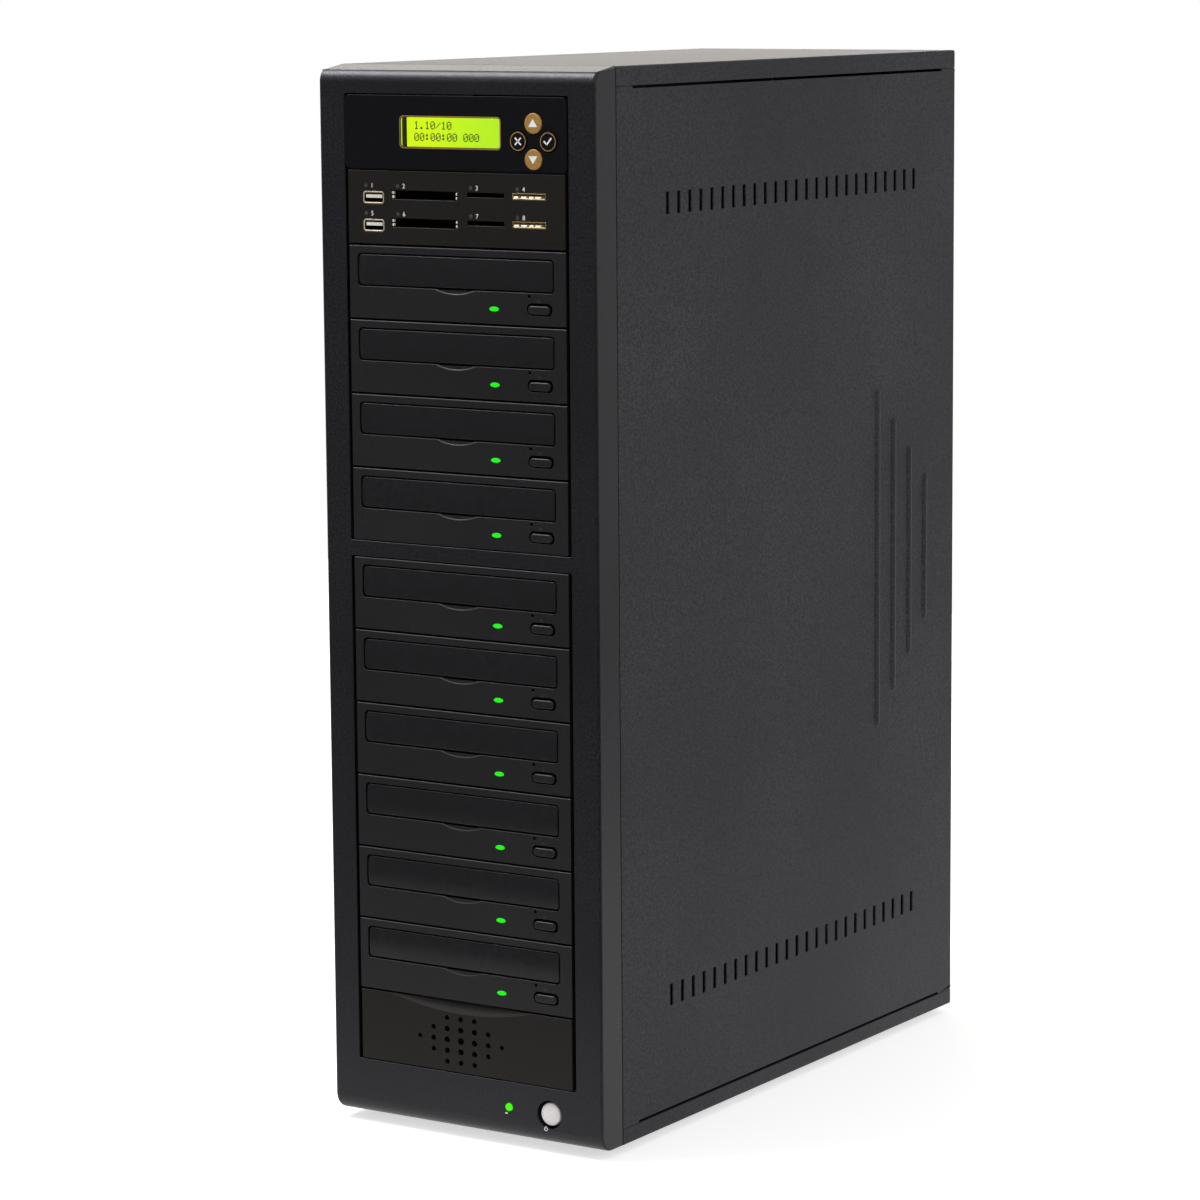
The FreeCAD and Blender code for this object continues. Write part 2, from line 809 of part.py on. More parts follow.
def make_drive_bezel():
    """A drive's plastic front, with its tray opening, finger notch, button hole and lamp hole."""
    body = new_body("drive_bezel")
    face = sketch(body, "XZ_Plane", "drive_face")
    rectangle(face, "-drive_width / 2", "drive_width / 2", "0", "face_height")
    pad(body, face, "drive_bezel_depth", Reversed=True)
    mouth = sketch(body, "XZ_Plane", "tray_mouth")
    left, right = "-door_width / 2 - door_offset", "door_width / 2 - door_offset"
    rectangle(mouth, left, right, "door_bottom", "door_bottom + door_height", "door_corner")
    pocket(body, mouth, "drive_bezel_depth")
    notch = sketch(body, "XZ_Plane", "finger_notch")
    crescent(notch, "-door_offset", "door_bottom", "notch_width", "notch_drop")
    pocket(body, notch, "notch_cut")
    holes = sketch(body, "XZ_Plane", "button_and_lamp_holes")
    draw_eject_outline(holes, "eject_gap")
    rectangle(
        holes,
        "lamp_across - lamp_width / 2 - lamp_fit",
        "lamp_across + lamp_width / 2 + lamp_fit",
        "lamp_up - lamp_height / 2 - lamp_fit",
        "lamp_up + lamp_height / 2 + lamp_fit",
    )
    pocket(body, holes, "drive_bezel_depth")
    return body


def draw_eject_outline(made, extra):
    """Draws the eject button's outline, made larger all round."""
    rectangle(
        made,
        f"eject_across - eject_width / 2 - {extra}",
        f"eject_across + eject_width / 2 + {extra}",
        f"eject_up - eject_height / 2 - {extra}",
        f"eject_up + eject_height / 2 + {extra}",
        "eject_corner",
    )


def make_eject_button():
    """An eject button, kept in by a collar behind the drive's bezel."""
    body = new_body("eject_button")
    cap = sketch(body, "XZ_Plane", "eject_cap", "eject_proud")
    draw_eject_outline(cap, "0")
    pad(body, cap, "eject_rear + eject_proud", Reversed=True)
    collar = sketch(body, "XZ_Plane", "eject_collar", "-eject_rear")
    draw_eject_outline(collar, "(eject_gap + eject_collar)")
    pad(body, collar, "eject_collar")
    return body


def make_loader():
    """The moulded frame inside a drive: a floor and two side walls with the runners that hold the tray."""
    body = new_body("drive_loader")
    section = sketch(body, "XZ_Plane", "loader_section", "-case_front")
    ledge = "tray_bottom - runner_gap"
    lip = "tray_top + runner_gap"
    inside = "runner_half - runner_lip"
    right = [
        ("loader_half", "case_floor"),
        ("loader_half", f"{lip} + runner_thickness"),
        (inside, f"{lip} + runner_thickness"),
        (inside, lip),
        ("runner_half", lip),
        ("runner_half", ledge),
        (inside, ledge),
        (inside, f"{ledge} - runner_thickness"),
        ("loader_half - loader_wall", f"{ledge} - runner_thickness"),
        ("loader_half - loader_wall", "case_floor + loader_wall / 2"),
    ]
    left = [(f"-({across})", up) for across, up in reversed(right)]
    polygon(section, right + left)
    pad(body, section, "case_depth - 2 * case_wall", Reversed=True)
    return body


def make_tray():
    """A disc tray: a plate with the round recess for the disc and the window for the hub and lens."""
    body = new_body("disc_tray")
    plate = sketch(body, "XY_Plane", "tray_plan", "tray_bottom")
    rectangle(plate, "-tray_width / 2", "tray_width / 2", "door_depth", "tray_length")
    pad(body, plate, "tray_thickness")
    recess = sketch(body, "XY_Plane", "disc_seat", "tray_top")
    facets(recess, "0", "disc_middle", "disc_diameter", DISC_SIDES)
    pocket(body, recess, "disc_recess")
    window = sketch(body, "XY_Plane", "lens_window", "tray_top")
    rectangle(
        window,
        "-tray_window_width / 2",
        "tray_window_width / 2",
        "disc_middle - tray_window_lead",
        "tray_length - tray_back_bar",
        "tray_window_width / 4",
    )
    pocket(body, window, "tray_thickness")
    return body


def make_tray_door():
    """The plastic front of a tray."""
    body = new_body("tray_door")
    face = sketch(body, "XZ_Plane", "door_face")
    left = "-door_width / 2 - door_offset + door_gap"
    right = "door_width / 2 - door_offset - door_gap"
    top = "door_bottom + door_height - door_gap"
    rectangle(face, left, right, "door_bottom + door_gap", top, "door_corner")
    pad(body, face, "door_depth", Reversed=True)
    return body


def make_controller():
    """The controller: a faceplate with a display window and four keys, and the boards on their carrier."""
    floor = bay_floor(CONTROLLER_BAY)
    body = new_body("controller_faceplate")
    face = sketch(body, "XZ_Plane", "panel_face", "panel_proud")
    rectangle(face, "-panel_width / 2", "panel_width / 2", "0", "face_height")
    pad(body, face, "plate_rear + panel_proud", Reversed=True)
    rounded(body, "Fillet", "panel_rounds", "panel_radius", lambda b: near(b.XLength, 0) and near(b.ZLength, 0))
    cuts = sketch(body, "XZ_Plane", "panel_cuts", "panel_proud")
    draw_window(cuts, "0")
    for across, up in KEYS.values():
        facets(cuts, across, up, "key_diameter + 2 * key_gap", KEY_SIDES)
    pocket(body, cuts, "plate_rear + panel_proud")
    node("controller_faceplate", body, z=floor)

    window = new_body("lcd_window")
    pane = sketch(window, "XZ_Plane", "window_face", "panel_proud")
    draw_window(pane, "window_fit")
    pad(window, pane, "window_thickness", Reversed=True)
    node("lcd_window", window, z=floor)

    lcd = box(
        "lcd_module",
        "window_across - window_width / 2 - lcd_border",
        "window_across + window_width / 2 + lcd_border",
        "lcd_setback",
        "display_front",
        "window_up - window_height / 2 - lcd_border",
        "window_up + window_height / 2 + lcd_border",
    )
    node(
        "lcd_module",
        group("lcd_module", [lcd]),
        z=floor,
    )

    boards = [
        box(
            "display_board",
            "-carrier_half",
            "carrier_half",
            "display_front",
            "display_front + board_thickness",
            "carrier_floor",
            "face_height - carrier_floor",
        ),
        box(
            "main_board",
            "-main_board_width / 2",
            "main_board_width / 2",
            "main_board_setback",
            "main_board_setback + main_board_depth",
            "carrier_floor + standoff_height",
            "carrier_floor + standoff_height + board_thickness",
        ),
    ]
    half = "key_switch_width / 2"
    for across, up in KEYS.values():
        boards.append(
            box(
                "key_switch",
                f"{across} - {half}",
                f"{across} + {half}",
                "key_switch_front",
                "display_front",
                f"{up} - {half}",
                f"{up} + {half}",
            )
        )
    node("controller_boards", group("controller_boards", boards), z=floor)

    for label, (across, up) in KEYS.items():
        key = new_body(label)
        cap = sketch(key, "XZ_Plane", label + "_cap", "panel_proud + key_proud")
        facets(cap, "0", "0", "key_diameter", KEY_SIDES)
        pad(key, cap, "key_rear + panel_proud + key_proud", Reversed=True)
        collar = sketch(key, "XZ_Plane", label + "_collar", "-key_collar_front")
        facets(collar, "0", "0", "key_diameter + 2 * key_collar", SMALL_SIDES)
        pad(key, collar, "key_rear - key_collar_front", Reversed=True)
        node(label, key, x=across, z=f"{floor} + {up}")


def draw_window(made, inset):
    """Draws the display window's outline, made smaller all round."""
    rectangle(
        made,
        f"window_across - window_width / 2 + {inset}",
        f"window_across + window_width / 2 - {inset}",
        f"window_up - window_height / 2 + {inset}",
        f"window_up + window_height / 2 - {inset}",
    )


def bay_carrier(name):
    """A folded sheet carrier that holds a faceplate and its boards in a bay."""
    body = new_body(name)
    section = sketch(body, "XZ_Plane", name + "_section", "-plate_rear")
    top = "face_height - carrier_drop"
    polygon(
        section,
        [
            ("-rail_inner", "carrier_drop"),
            ("rail_inner", "carrier_drop"),
            ("rail_inner", top),
            ("carrier_half", top),
            ("carrier_half", "carrier_floor"),
            ("-carrier_half", "carrier_floor"),
            ("-carrier_half", top),
            ("-rail_inner", top),
        ],
    )
    pad(body, section, "carrier_depth", Reversed=True)
    return body


def make_carriers():
    """The carriers of the controller and the reader, with board standoffs and a notch behind the lowest key."""
    body = bay_carrier("bay_carrier")
    notch = sketch(body, "XY_Plane", "key_notch", "carrier_drop")
    rectangle(
        notch,
        "key_across - key_diameter",
        "key_across + key_diameter",
        "plate_rear",
        "key_rear + key_notch_margin",
    )
    pocket(body, notch, "carrier_floor - carrier_drop", Reversed=True)
    standoffs = sketch(body, "XY_Plane", "standoffs", "carrier_floor")
    half = "standoff_diameter / 2"
    for across in (f"{half} - main_board_width / 2", f"main_board_width / 2 - {half}"):
        for depth in (f"main_board_setback + {half}", f"main_board_setback + main_board_depth - {half}"):
            rectangle(
                standoffs,
                f"{across} - {half}",
                f"{across} + {half}",
                f"{depth} - {half}",
                f"{depth} + {half}",
                "standoff_diameter / 4",
            )
    pad(body, standoffs, "standoff_height")
    node("controller_carrier", group("controller_carrier", [body]), z=bay_floor(CONTROLLER_BAY))

    node("reader_carrier", bay_carrier("reader_carrier"), z=bay_floor(READER_BAY))


def make_reader():
    """The card reader: a faceplate, two boards one above the other, and the sockets on them."""
    floor = bay_floor(READER_BAY)
    body = new_body("reader_faceplate")
    face = sketch(body, "XZ_Plane", "reader_face", "reader_proud")
    rectangle(face, "-drive_width / 2", "drive_width / 2", "0", "face_height")
    pad(body, face, "plate_rear + reader_proud", Reversed=True)
    cuts = sketch(body, "XZ_Plane", "reader_cuts", "reader_proud")
    for row in READER_ROWS:
        for kind in SOCKETS:
            rectangle(
                cuts,
                f"{kind}_left",
                f"{kind}_left + {kind}_width",
                f"{kind}_up + {row} * reader_row_pitch",
                f"{kind}_up + {kind}_height + {row} * reader_row_pitch",
            )
    pocket(body, cuts, "plate_rear + reader_proud")
    node("reader_faceplate", body, z=floor)

    boards, ports, sockets = [], [], []
    for row in READER_ROWS:
        lift = f"{row} * reader_row_pitch"
        boards.append(
            box(
                "reader_board",
                "-carrier_half",
                "carrier_half",
                "plate_rear",
                "plate_rear + reader_board_depth",
                f"reader_board_up + {lift}",
                f"reader_board_up + board_thickness + {lift}",
            )
        )
        for kind in SOCKETS:
            shell = box(
                f"{kind}_shell",
                f"{kind}_left - socket_wall",
                f"{kind}_left + {kind}_width + socket_wall",
                "plate_rear",
                "plate_rear + socket_depth",
                f"reader_board_up + board_thickness + {lift}",
                f"{kind}_up + {kind}_height + socket_wall + {lift}",
            )
            slot = box(
                f"{kind}_slot",
                f"{kind}_left",
                f"{kind}_left + {kind}_width",
                "0",
                "plate_rear + card_depth",
                f"{kind}_up + {lift}",
                f"{kind}_up + {kind}_height + {lift}",
            )
            socket = joined("Cut", f"{kind}_socket", shell, slot)
            if kind != "usb":
                sockets.append(socket)
                continue
            tongue = box(
                "usb_tongue_bar",
                "usb_left + usb_tongue",
                "usb_left + usb_width - usb_tongue",
                "plate_rear + usb_tongue",
                "plate_rear + card_depth",
                f"usb_up + usb_height - 1.5 * usb_tongue + {lift}",
                f"usb_up + usb_height - usb_tongue / 2 + {lift}",
            )
            ports.append(joined("Fuse", "usb_port", socket, tongue))
    node("reader_boards", group("reader_boards", boards), z=floor)
    node("usb_ports", group("usb_ports", ports), z=floor)
    node("card_sockets", group("card_sockets", sockets), z=floor)


def make_blank():
    """The vented blank panel: a finger scoop at the top, a diamond of round holes, two arms to the rails."""
    body = new_body("vent_panel")
    face = sketch(body, "XZ_Plane", "blank_face")
    rectangle(face, "-blank_width / 2", "blank_width / 2", "0", "face_height")
    pad(body, face, "plate_rear", Reversed=True)
    scoop = sketch(body, "XZ_Plane", "finger_scoop")
    crescent(scoop, "scoop_across", "face_height", "scoop_width", "scoop_drop")
    pocket(body, scoop, "scoop_cut")
    middle_row = len(VENT_ROWS) // 2
    for i, count in enumerate(VENT_ROWS):
        holes = sketch(body, "XZ_Plane", f"vent_row_{i + 1}")
        for k in range(count):
            column = k - count // 2
            away = math.hypot(column, i - middle_row)
            facets(
                holes,
                f"vent_across + {column} * vent_pitch_across",
                f"vent_up + {middle_row - i} * vent_pitch_up",
                f"vent_diameter - {away:.3f} * vent_fade",
                SMALL_SIDES,
            )
        pocket(body, holes, "plate_rear")
    arms = sketch(body, "XZ_Plane", "blank_arms", "-plate_rear")
    for left, right in (
        ("-rail_inner", "blank_arm_thickness - rail_inner"),
        ("rail_inner - blank_arm_thickness", "rail_inner"),
    ):
        rectangle(arms, left, right, "carrier_drop", "face_height - carrier_drop")
    pad(body, arms, "blank_arm_length", Reversed=True)
    node("vent_panel", body, z=bay_floor(BLANK_BAY))


def make_power_controls():
    """The power button and lamp in the foot of the bezel, and the switch behind the button."""
    button = new_body("power_button")
    cap = sketch(button, "XZ_Plane", "power_cap", "power_proud")
    facets(cap, "0", "0", "power_diameter", KEY_SIDES)
    pad(button, cap, "power_rear + power_proud", Reversed=True)
    collar = sketch(button, "XZ_Plane", "power_collar", "-power_collar_front")
    facets(collar, "0", "0", "power_diameter + 2 * power_collar", SMALL_SIDES)
    pad(button, collar, "power_collar_depth", Reversed=True)
    node("power_button", button, x="power_across", z="power_up")
    half = "power_switch_width / 2"
    switch = box(
        "switch_block",
        f"power_across - {half}",
        f"power_across + {half}",
        "power_switch_front",
        "bezel_depth",
        f"power_up - {half}",
        f"power_up + {half}",
    )
    node("power_switch", group("power_switch", [switch]))
    lamp = new_body("power_lamp")
    rod = sketch(lamp, "XZ_Plane", "lamp_rod", "power_lamp_proud")
    circle(rod, "power_lamp_across", "power_up", "power_lamp_diameter")
    pad(lamp, rod, "bezel_depth + power_lamp_proud", Reversed=True)
    node("power_lamp", lamp)


def make_supply():
    """The power supply: a folded case on the base pan, with an inlet, a switch and a fan grille on its back."""
    outer = box(
        "supply_outer",
        "-supply_width / 2",
        "supply_width / 2",
        "supply_front",
        "rear_inner",
        "gauge",
        "supply_top",
    )
    hollow = box(
        "supply_hollow",
        "supply_wall - supply_width / 2",
        "supply_width / 2 - supply_wall",
        "supply_front + supply_wall",
        "supply_fan_rear",
        "gauge + supply_wall",
        "supply_top - supply_wall",
    )
    inlet_hole = box(
        "inlet_hole",
        "inlet_across - inlet_width / 2",
        "inlet_across + inlet_width / 2",
        "supply_fan_rear - supply_wall",
        "body_depth",
        "inlet_above_floor - inlet_height / 2",
        "inlet_above_floor + inlet_height / 2",
    )
    rocker_half = "rocker_radius + rocker_gap + switch_wall"
    switch_half = "rocker_width / 2 + rocker_gap + switch_wall"
    switch_hole = box(
        "switch_hole",
        f"inlet_across - ({switch_half})",
        f"inlet_across + {switch_half}",
        "supply_fan_rear - supply_wall",
        "body_depth",
        f"rocker_above_floor - ({rocker_half})",
        f"rocker_above_floor + {rocker_half}",
    )
    grille = new_body("supply_grille")
    slots = sketch(grille, "XZ_Plane", "supply_grille_slots", "-supply_fan_rear")
    draw_grille(slots, "supply_fan_across", "supply_fan_up")
    pad(grille, slots, "supply_wall", Reversed=True)
    cuts = group("supply_cuts", [hollow, inlet_hole, switch_hole, grille])
    case = joined("Cut", "supply_case", outer, cuts)
    node("psu_case", case)
    make_inlet()
    make_mains_switch(rocker_half, switch_half)


def make_inlet():
    """The mains inlet: a rimmed socket with three flat pins."""
    body = new_body("mains_inlet")
    half_width, half_height = "inlet_width / 2", "inlet_height / 2"
    block = sketch(body, "XZ_Plane", "inlet_block", "-rear_inner")
    rectangle(
        block,
        f"inlet_across - {half_width}",
        f"inlet_across + {half_width}",
        f"inlet_above_floor - {half_height}",
        f"inlet_above_floor + {half_height}",
    )
    pad(body, block, "inlet_depth")
    rim = sketch(body, "XZ_Plane", "inlet_rim", "-rear_inner")
    rectangle(
        rim,
        f"inlet_across - {half_width} - inlet_rim",
        f"inlet_across + {half_width} + inlet_rim",
        f"inlet_above_floor - {half_height} - inlet_rim",
        f"inlet_above_floor + {half_height} + inlet_rim",
        "inlet_rim",
    )
    pad(body, rim, "inlet_proud", Reversed=True)
    cavity = sketch(body, "XZ_Plane", "inlet_cavity", "-rear_inner - inlet_proud")
    rectangle(
        cavity,
        f"inlet_across - {half_width} + inlet_wall",
        f"inlet_across + {half_width} - inlet_wall",
        f"inlet_above_floor - {half_height} + inlet_wall",
        f"inlet_above_floor + {half_height} - inlet_wall",
        "inlet_wall",
    )
    pocket(body, cavity, "inlet_cavity", Reversed=True)
    pins = sketch(body, "XZ_Plane", "inlet_pins", "inlet_cavity - inlet_proud - rear_inner")
    for column, row in ((-1, -1), (0, 1), (1, -1)):
        across = f"inlet_across + {column} * pin_spacing"
        up = f"inlet_above_floor + {row} * pin_height / 2"
        rectangle(
            pins,
            f"{across} - pin_width / 2",
            f"{across} + pin_width / 2",
            f"{up} - pin_height / 2",
            f"{up} + pin_height / 2",
        )
    pad(body, pins, "pin_length", Reversed=True)
    node("mains_inlet", body)


def make_mains_switch(half_height, half_width):
    """The mains switch: a frame in the supply's back wall, and the rocker that tips in it."""
    body = new_body("mains_switch_body")
    block = sketch(body, "XZ_Plane", "switch_frame", "-rear_inner")
    rectangle(
        block,
        f"inlet_across - ({half_width})",
        f"inlet_across + {half_width}",
        f"rocker_above_floor - ({half_height})",
        f"rocker_above_floor + {half_height}",
    )
    pad(body, block, "switch_depth")
    mouth = sketch(body, "XZ_Plane", "switch_mouth", "-rear_inner")
    rectangle(
        mouth,
        "inlet_across - rocker_width / 2 - rocker_gap",
        "inlet_across + rocker_width / 2 + rocker_gap",
        "rocker_above_floor - rocker_radius - rocker_gap",
        "rocker_above_floor + rocker_radius + rocker_gap",
    )
    pocket(body, mouth, "switch_depth - switch_wall", Reversed=True)
    node("mains_switch_body", body)

    drum = doc.addObject("Part::Cylinder", "rocker_drum")
    drum.Placement = FreeCAD.Placement(FreeCAD.Vector(), FreeCAD.Rotation(FreeCAD.Vector(0, 1, 0), 90))
    bind(drum, Radius="rocker_radius", Height="rocker_width")
    place(drum, "inlet_across - rocker_width / 2", "rocker_axis", "rocker_above_floor")
    wedge = new_body("rocker_wedge")
    faces = sketch(wedge, "YZ_Plane", "rocker_faces", "inlet_across - rocker_width / 2")
    reach = "2 * rocker_radius"
    polygon(
        faces,
        [
            ("rocker_axis + rocker_face", f"rocker_above_floor - {reach}"),
            ("rocker_axis + rocker_face", "rocker_above_floor"),
            (f"rocker_axis + rocker_face + {reach} * tan(rocker_throw)", f"rocker_above_floor + {reach}"),
            ("rocker_axis - rocker_back", f"rocker_above_floor + {reach}"),
            ("rocker_axis - rocker_back", f"rocker_above_floor - {reach}"),
        ],
    )
    pad(wedge, faces, "rocker_width")
    node("mains_rocker", joined("Common", "rocker", drum, wedge))


def make_fans():
    """The case fan behind the rear panel and the supply's own fan, each a frame and a bladed rotor."""
    frame = make_fan_frame()
    rotor = make_fan_rotor()
    fans = (
        ("case_fan_rotor", "0", "rear_inner - fan_depth", "fan_above_floor"),
        ("supply_fan_rotor", "supply_fan_across", "supply_fan_rear - fan_depth", "supply_fan_up"),
    )
    frames = []
    for label, across, front, up in fans:
        frames.append(moved_copy(label + "_frame", frame, across, front, up))
        node(label, group(label, [rotor]), across, front, up)
    node("fan_frames", group("fan_frames", frames))


def make_fan_frame():
    """A square fan frame about its own axis: four struts carry the motor plate with the shaft's bearing."""
    body = new_body("fan_frame")
    face = sketch(body, "XZ_Plane", "fan_outer")
    half = "fan_size / 2"
    rectangle(face, f"-{half}", half, f"-{half}", half)
    facets(face, "0", "0", "fan_bore", BORE_SIDES)
    pad(body, face, "fan_depth", Reversed=True)
    struts = sketch(body, "XZ_Plane", "fan_struts", "-fan_motor_front")
    web = "fan_strut_width / 2"
    tip = "((fan_bore + fan_size) / 4)"
    polygon(
        struts,
        [
            (f"-{web}", f"-{tip}"),
            (web, f"-{tip}"),
            (web, f"-{web}"),
            (tip, f"-{web}"),
            (tip, web),
            (web, web),
            (web, tip),
            (f"-{web}", tip),
            (f"-{web}", web),
            (f"-{tip}", web),
            (f"-{tip}", f"-{web}"),
            (f"-{web}", f"-{web}"),
        ],
    )
    pad(body, struts, "fan_strut_depth", Reversed=True)
    plate = sketch(body, "XZ_Plane", "motor_plate", "-fan_motor_front")
    facets(plate, "0", "0", "fan_hub", 2 * BLADES)
    pad(body, plate, "fan_strut_depth", Reversed=True)
    bearing = sketch(body, "XZ_Plane", "bearing", "-fan_motor_front")
    circle(bearing, "0", "0", "fan_shaft + 2 * fan_shaft_gap")
    pocket(body, bearing, "fan_strut_depth")
    return body


def make_fan_rotor():
    """A fan rotor about its own axis: a hub and shaft, with cambered blades set at a slant."""
    body = new_body("fan_rotor")
    hub = sketch(body, "XZ_Plane", "rotor_hub", "-rotor_front")
    facets(hub, "0", "0", "fan_hub", 2 * BLADES)
    pad(body, hub, "rotor_rear - rotor_front", Reversed=True)
    shaft = sketch(body, "XZ_Plane", "rotor_shaft", "-rotor_rear")
    circle(shaft, "0", "0", "fan_shaft")
    pad(body, shaft, "fan_axial_gap + fan_shaft_seat", Reversed=True)
    blade = sketch(body, "YZ_Plane", "blade_section", "fan_hub / 2 - blade_thickness")
    middle = "(rotor_front + rotor_rear) / 2"
    low, high = f"{middle} - blade_rise / 2", f"{middle} + blade_rise / 2"
    polygon(
        blade,
        [
            (low, "-blade_chord / 2"),
            (f"{middle} + blade_camber", "0"),
            (high, "blade_chord / 2"),
            (f"{high} - blade_thickness", "blade_chord / 2"),
            (f"{middle} + blade_camber - blade_thickness", "0"),
            (f"{low} - blade_thickness", "-blade_chord / 2"),
        ],
    )
    tip = "sqrt((fan_bore / 2 - blade_tip_gap) ^ 2 - (blade_chord / 2) ^ 2)"
    made = pad(body, blade, f"{tip} - fan_hub / 2 + blade_thickness")
    pattern = body.newObject("PartDesign::PolarPattern", "blades")
    pattern.Originals = [made]
    axis = next(feature for feature in body.Origin.OriginFeatures if feature.Role == "Y_Axis")
    pattern.Axis = (axis, [""])
    pattern.Angle = 360
    pattern.Occurrences = BLADES
    body.Tip = pattern
    doc.recompute()
    return body


def make_loom():
    """The loom: a data lead from the controller and a power lead from the supply, plugged into the drives."""
    pieces = []
    middle = "face_height / 2"
    board_top = f"{bay_floor(CONTROLLER_BAY)} + carrier_floor + standoff_height + board_thickness"
    lead_front = "case_rear + plug_depth"
    runs = (
        (
            "data",
            f"{bay_floor(drive_bay(DRIVES))} + {middle} - plug_height / 2",
            f"{board_top} + loom_thickness",
            ("main_board_setback + main_board_depth - data_lead_overlap", lead_front, board_top),
        ),
        (
            "power",
            "supply_lead_up",
            f"{bay_floor(drive_bay(1))} + {middle} + plug_height / 2",
            (f"{lead_front} + loom_thickness", "supply_front", "supply_lead_up"),
        ),
    )
    for kind, bottom, top, (start, end, level) in runs:
        across, half = f"{kind}_plug_across", f"{kind}_plug_width / 2"
        for number in range(1, DRIVES + 1):
            up = f"{bay_floor(drive_bay(number))} + {middle}"
            pieces.append(
                box(
                    f"{kind}_plug",
                    f"{across} - {half}",
                    f"{across} + {half}",
                    "case_rear",
                    "case_rear + plug_depth",
                    f"{up} - plug_height / 2",
                    f"{up} + plug_height / 2",
                )
            )
        pieces.append(
            box(
                f"{kind}_lead",
                f"{across} - {half}",
                f"{across} + {half}",
                lead_front,
                f"{lead_front} + loom_thickness",
                bottom,
                top,
            )
        )
        pieces.append(
            box(
                f"{kind}_tail",
                f"{across} - {half}",
                f"{across} + {half}",
                start,
                end,
                level,
                f"{level} + loom_thickness",
            )
        )
    node("cable_loom", group("cable_loom", pieces))


def check_and_write():
    """Stops at a failed object or shape, then writes each node's STEP file."""
    doc.recompute()
    failed = [o.Name for o in doc.Objects if "Invalid" in o.State or "Error" in o.State]
    if failed:
        raise RuntimeError(f"failed objects: {failed}")
    for label, obj in nodes.items():
        if obj.Shape.isNull() or not obj.Shape.isValid() or not obj.Shape.Solids:
            raise RuntimeError(f"{label} has no valid solid")
    os.makedirs("parts", exist_ok=True)
    for label, obj in nodes.items():
        obj.Shape.exportStep(f"parts/{label}.step")
    print(f"{len(nodes)} nodes written")


sheet = fill_sheets()
make_front_bezel()
make_shell()
make_feet_and_screws()
make_drives()
make_controller()
make_carriers()
make_reader()
make_blank()
make_power_controls()
make_supply()
make_fans()
make_loom()
check_and_write()
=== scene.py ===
"""Studio picture of a disc duplicator tower.

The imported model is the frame: each piece sits where its solid sits and moves with the same body. Sizes in
the classes are millimetres, and Blender's lengths are metres.
"""

import logging
import math
from collections.abc import Callable, Iterable, Iterator
from contextlib import contextmanager
from dataclasses import dataclass, field
from enum import Enum

import bmesh
import bpy
from mathutils import Matrix, Vector


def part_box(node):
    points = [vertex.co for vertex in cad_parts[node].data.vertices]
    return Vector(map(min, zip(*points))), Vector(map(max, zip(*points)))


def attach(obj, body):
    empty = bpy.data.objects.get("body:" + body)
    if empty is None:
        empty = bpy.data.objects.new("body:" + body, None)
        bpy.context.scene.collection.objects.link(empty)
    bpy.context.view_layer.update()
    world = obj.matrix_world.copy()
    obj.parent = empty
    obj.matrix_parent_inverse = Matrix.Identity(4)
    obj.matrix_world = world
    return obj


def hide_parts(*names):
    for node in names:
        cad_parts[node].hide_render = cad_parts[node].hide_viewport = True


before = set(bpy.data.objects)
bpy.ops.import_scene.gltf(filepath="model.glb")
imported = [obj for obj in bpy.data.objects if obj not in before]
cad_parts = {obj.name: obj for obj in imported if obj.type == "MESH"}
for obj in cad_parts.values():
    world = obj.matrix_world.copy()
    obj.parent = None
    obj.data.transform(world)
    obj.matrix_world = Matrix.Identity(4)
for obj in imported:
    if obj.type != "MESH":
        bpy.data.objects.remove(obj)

LOG = logging.getLogger("tower")
MM = 0.001
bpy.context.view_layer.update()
CHASSIS = "chassis"
DRIVES = range(1, 11)
NEAR = 1e-6
# Points closer than the gap are merged, and so are faces that meet at less than the angle.
MERGE_GAP = 0.002 * MM
FLAT_ANGLE = math.radians(0.2)
# How squarely a face looks along the depth axis to count as a front.
FACING = 0.9
UPWARD = Vector((0.0, 0.0, 1.0))
NOISE_DETAIL = 3.0
# Sockets of a mix node, by number because their names repeat: two tones, their mix, and two values.
TONE_FIRST = 6
TONE_SECOND = 7
TONE_RESULT = 2
VALUE_FIRST = 2
VALUE_SECOND = 3
# How the rise of a domed face is shared among its steps.
DOME_SHARES = (0.55, 0.3, 0.15)

EdgeTest = Callable[[bmesh.types.BMEdge], bool]
NodeValue = float | bpy.types.NodeSocket
Span = tuple[float, float]


class Axis(Enum):
    """A direction of the part's frame."""

    X = 0
    Y = 1
    Z = 2


class Pick(Enum):
    """What a selection in edit mode is made of."""

    POINTS = "VERT"
    EDGES = "EDGE"
    FACES = "FACE"


class Work(Enum):
    """How one piece changes another."""

    CUT = "DIFFERENCE"
    WELD = "UNION"


class KeyMark(Enum):
    """The sign on a controller key."""

    UP = "up"
    DOWN = "down"
    CROSS = "cross"
    TICK = "tick"


def colour(code: str) -> tuple[float, float, float, float]:
    """Turns an sRGB hex code into a linear colour.

    Args:
        code: A hash and six hex digits.

    Returns:
        Linear red, green and blue, with an alpha of one.
    """
    channels = [int(code[i : i + 2], 16) / 255 for i in (1, 3, 5)]
    linear = [c / 12.92 if c <= 0.04045 else ((c + 0.055) / 1.055) ** 2.4 for c in channels]
    return (*linear, 1.0)


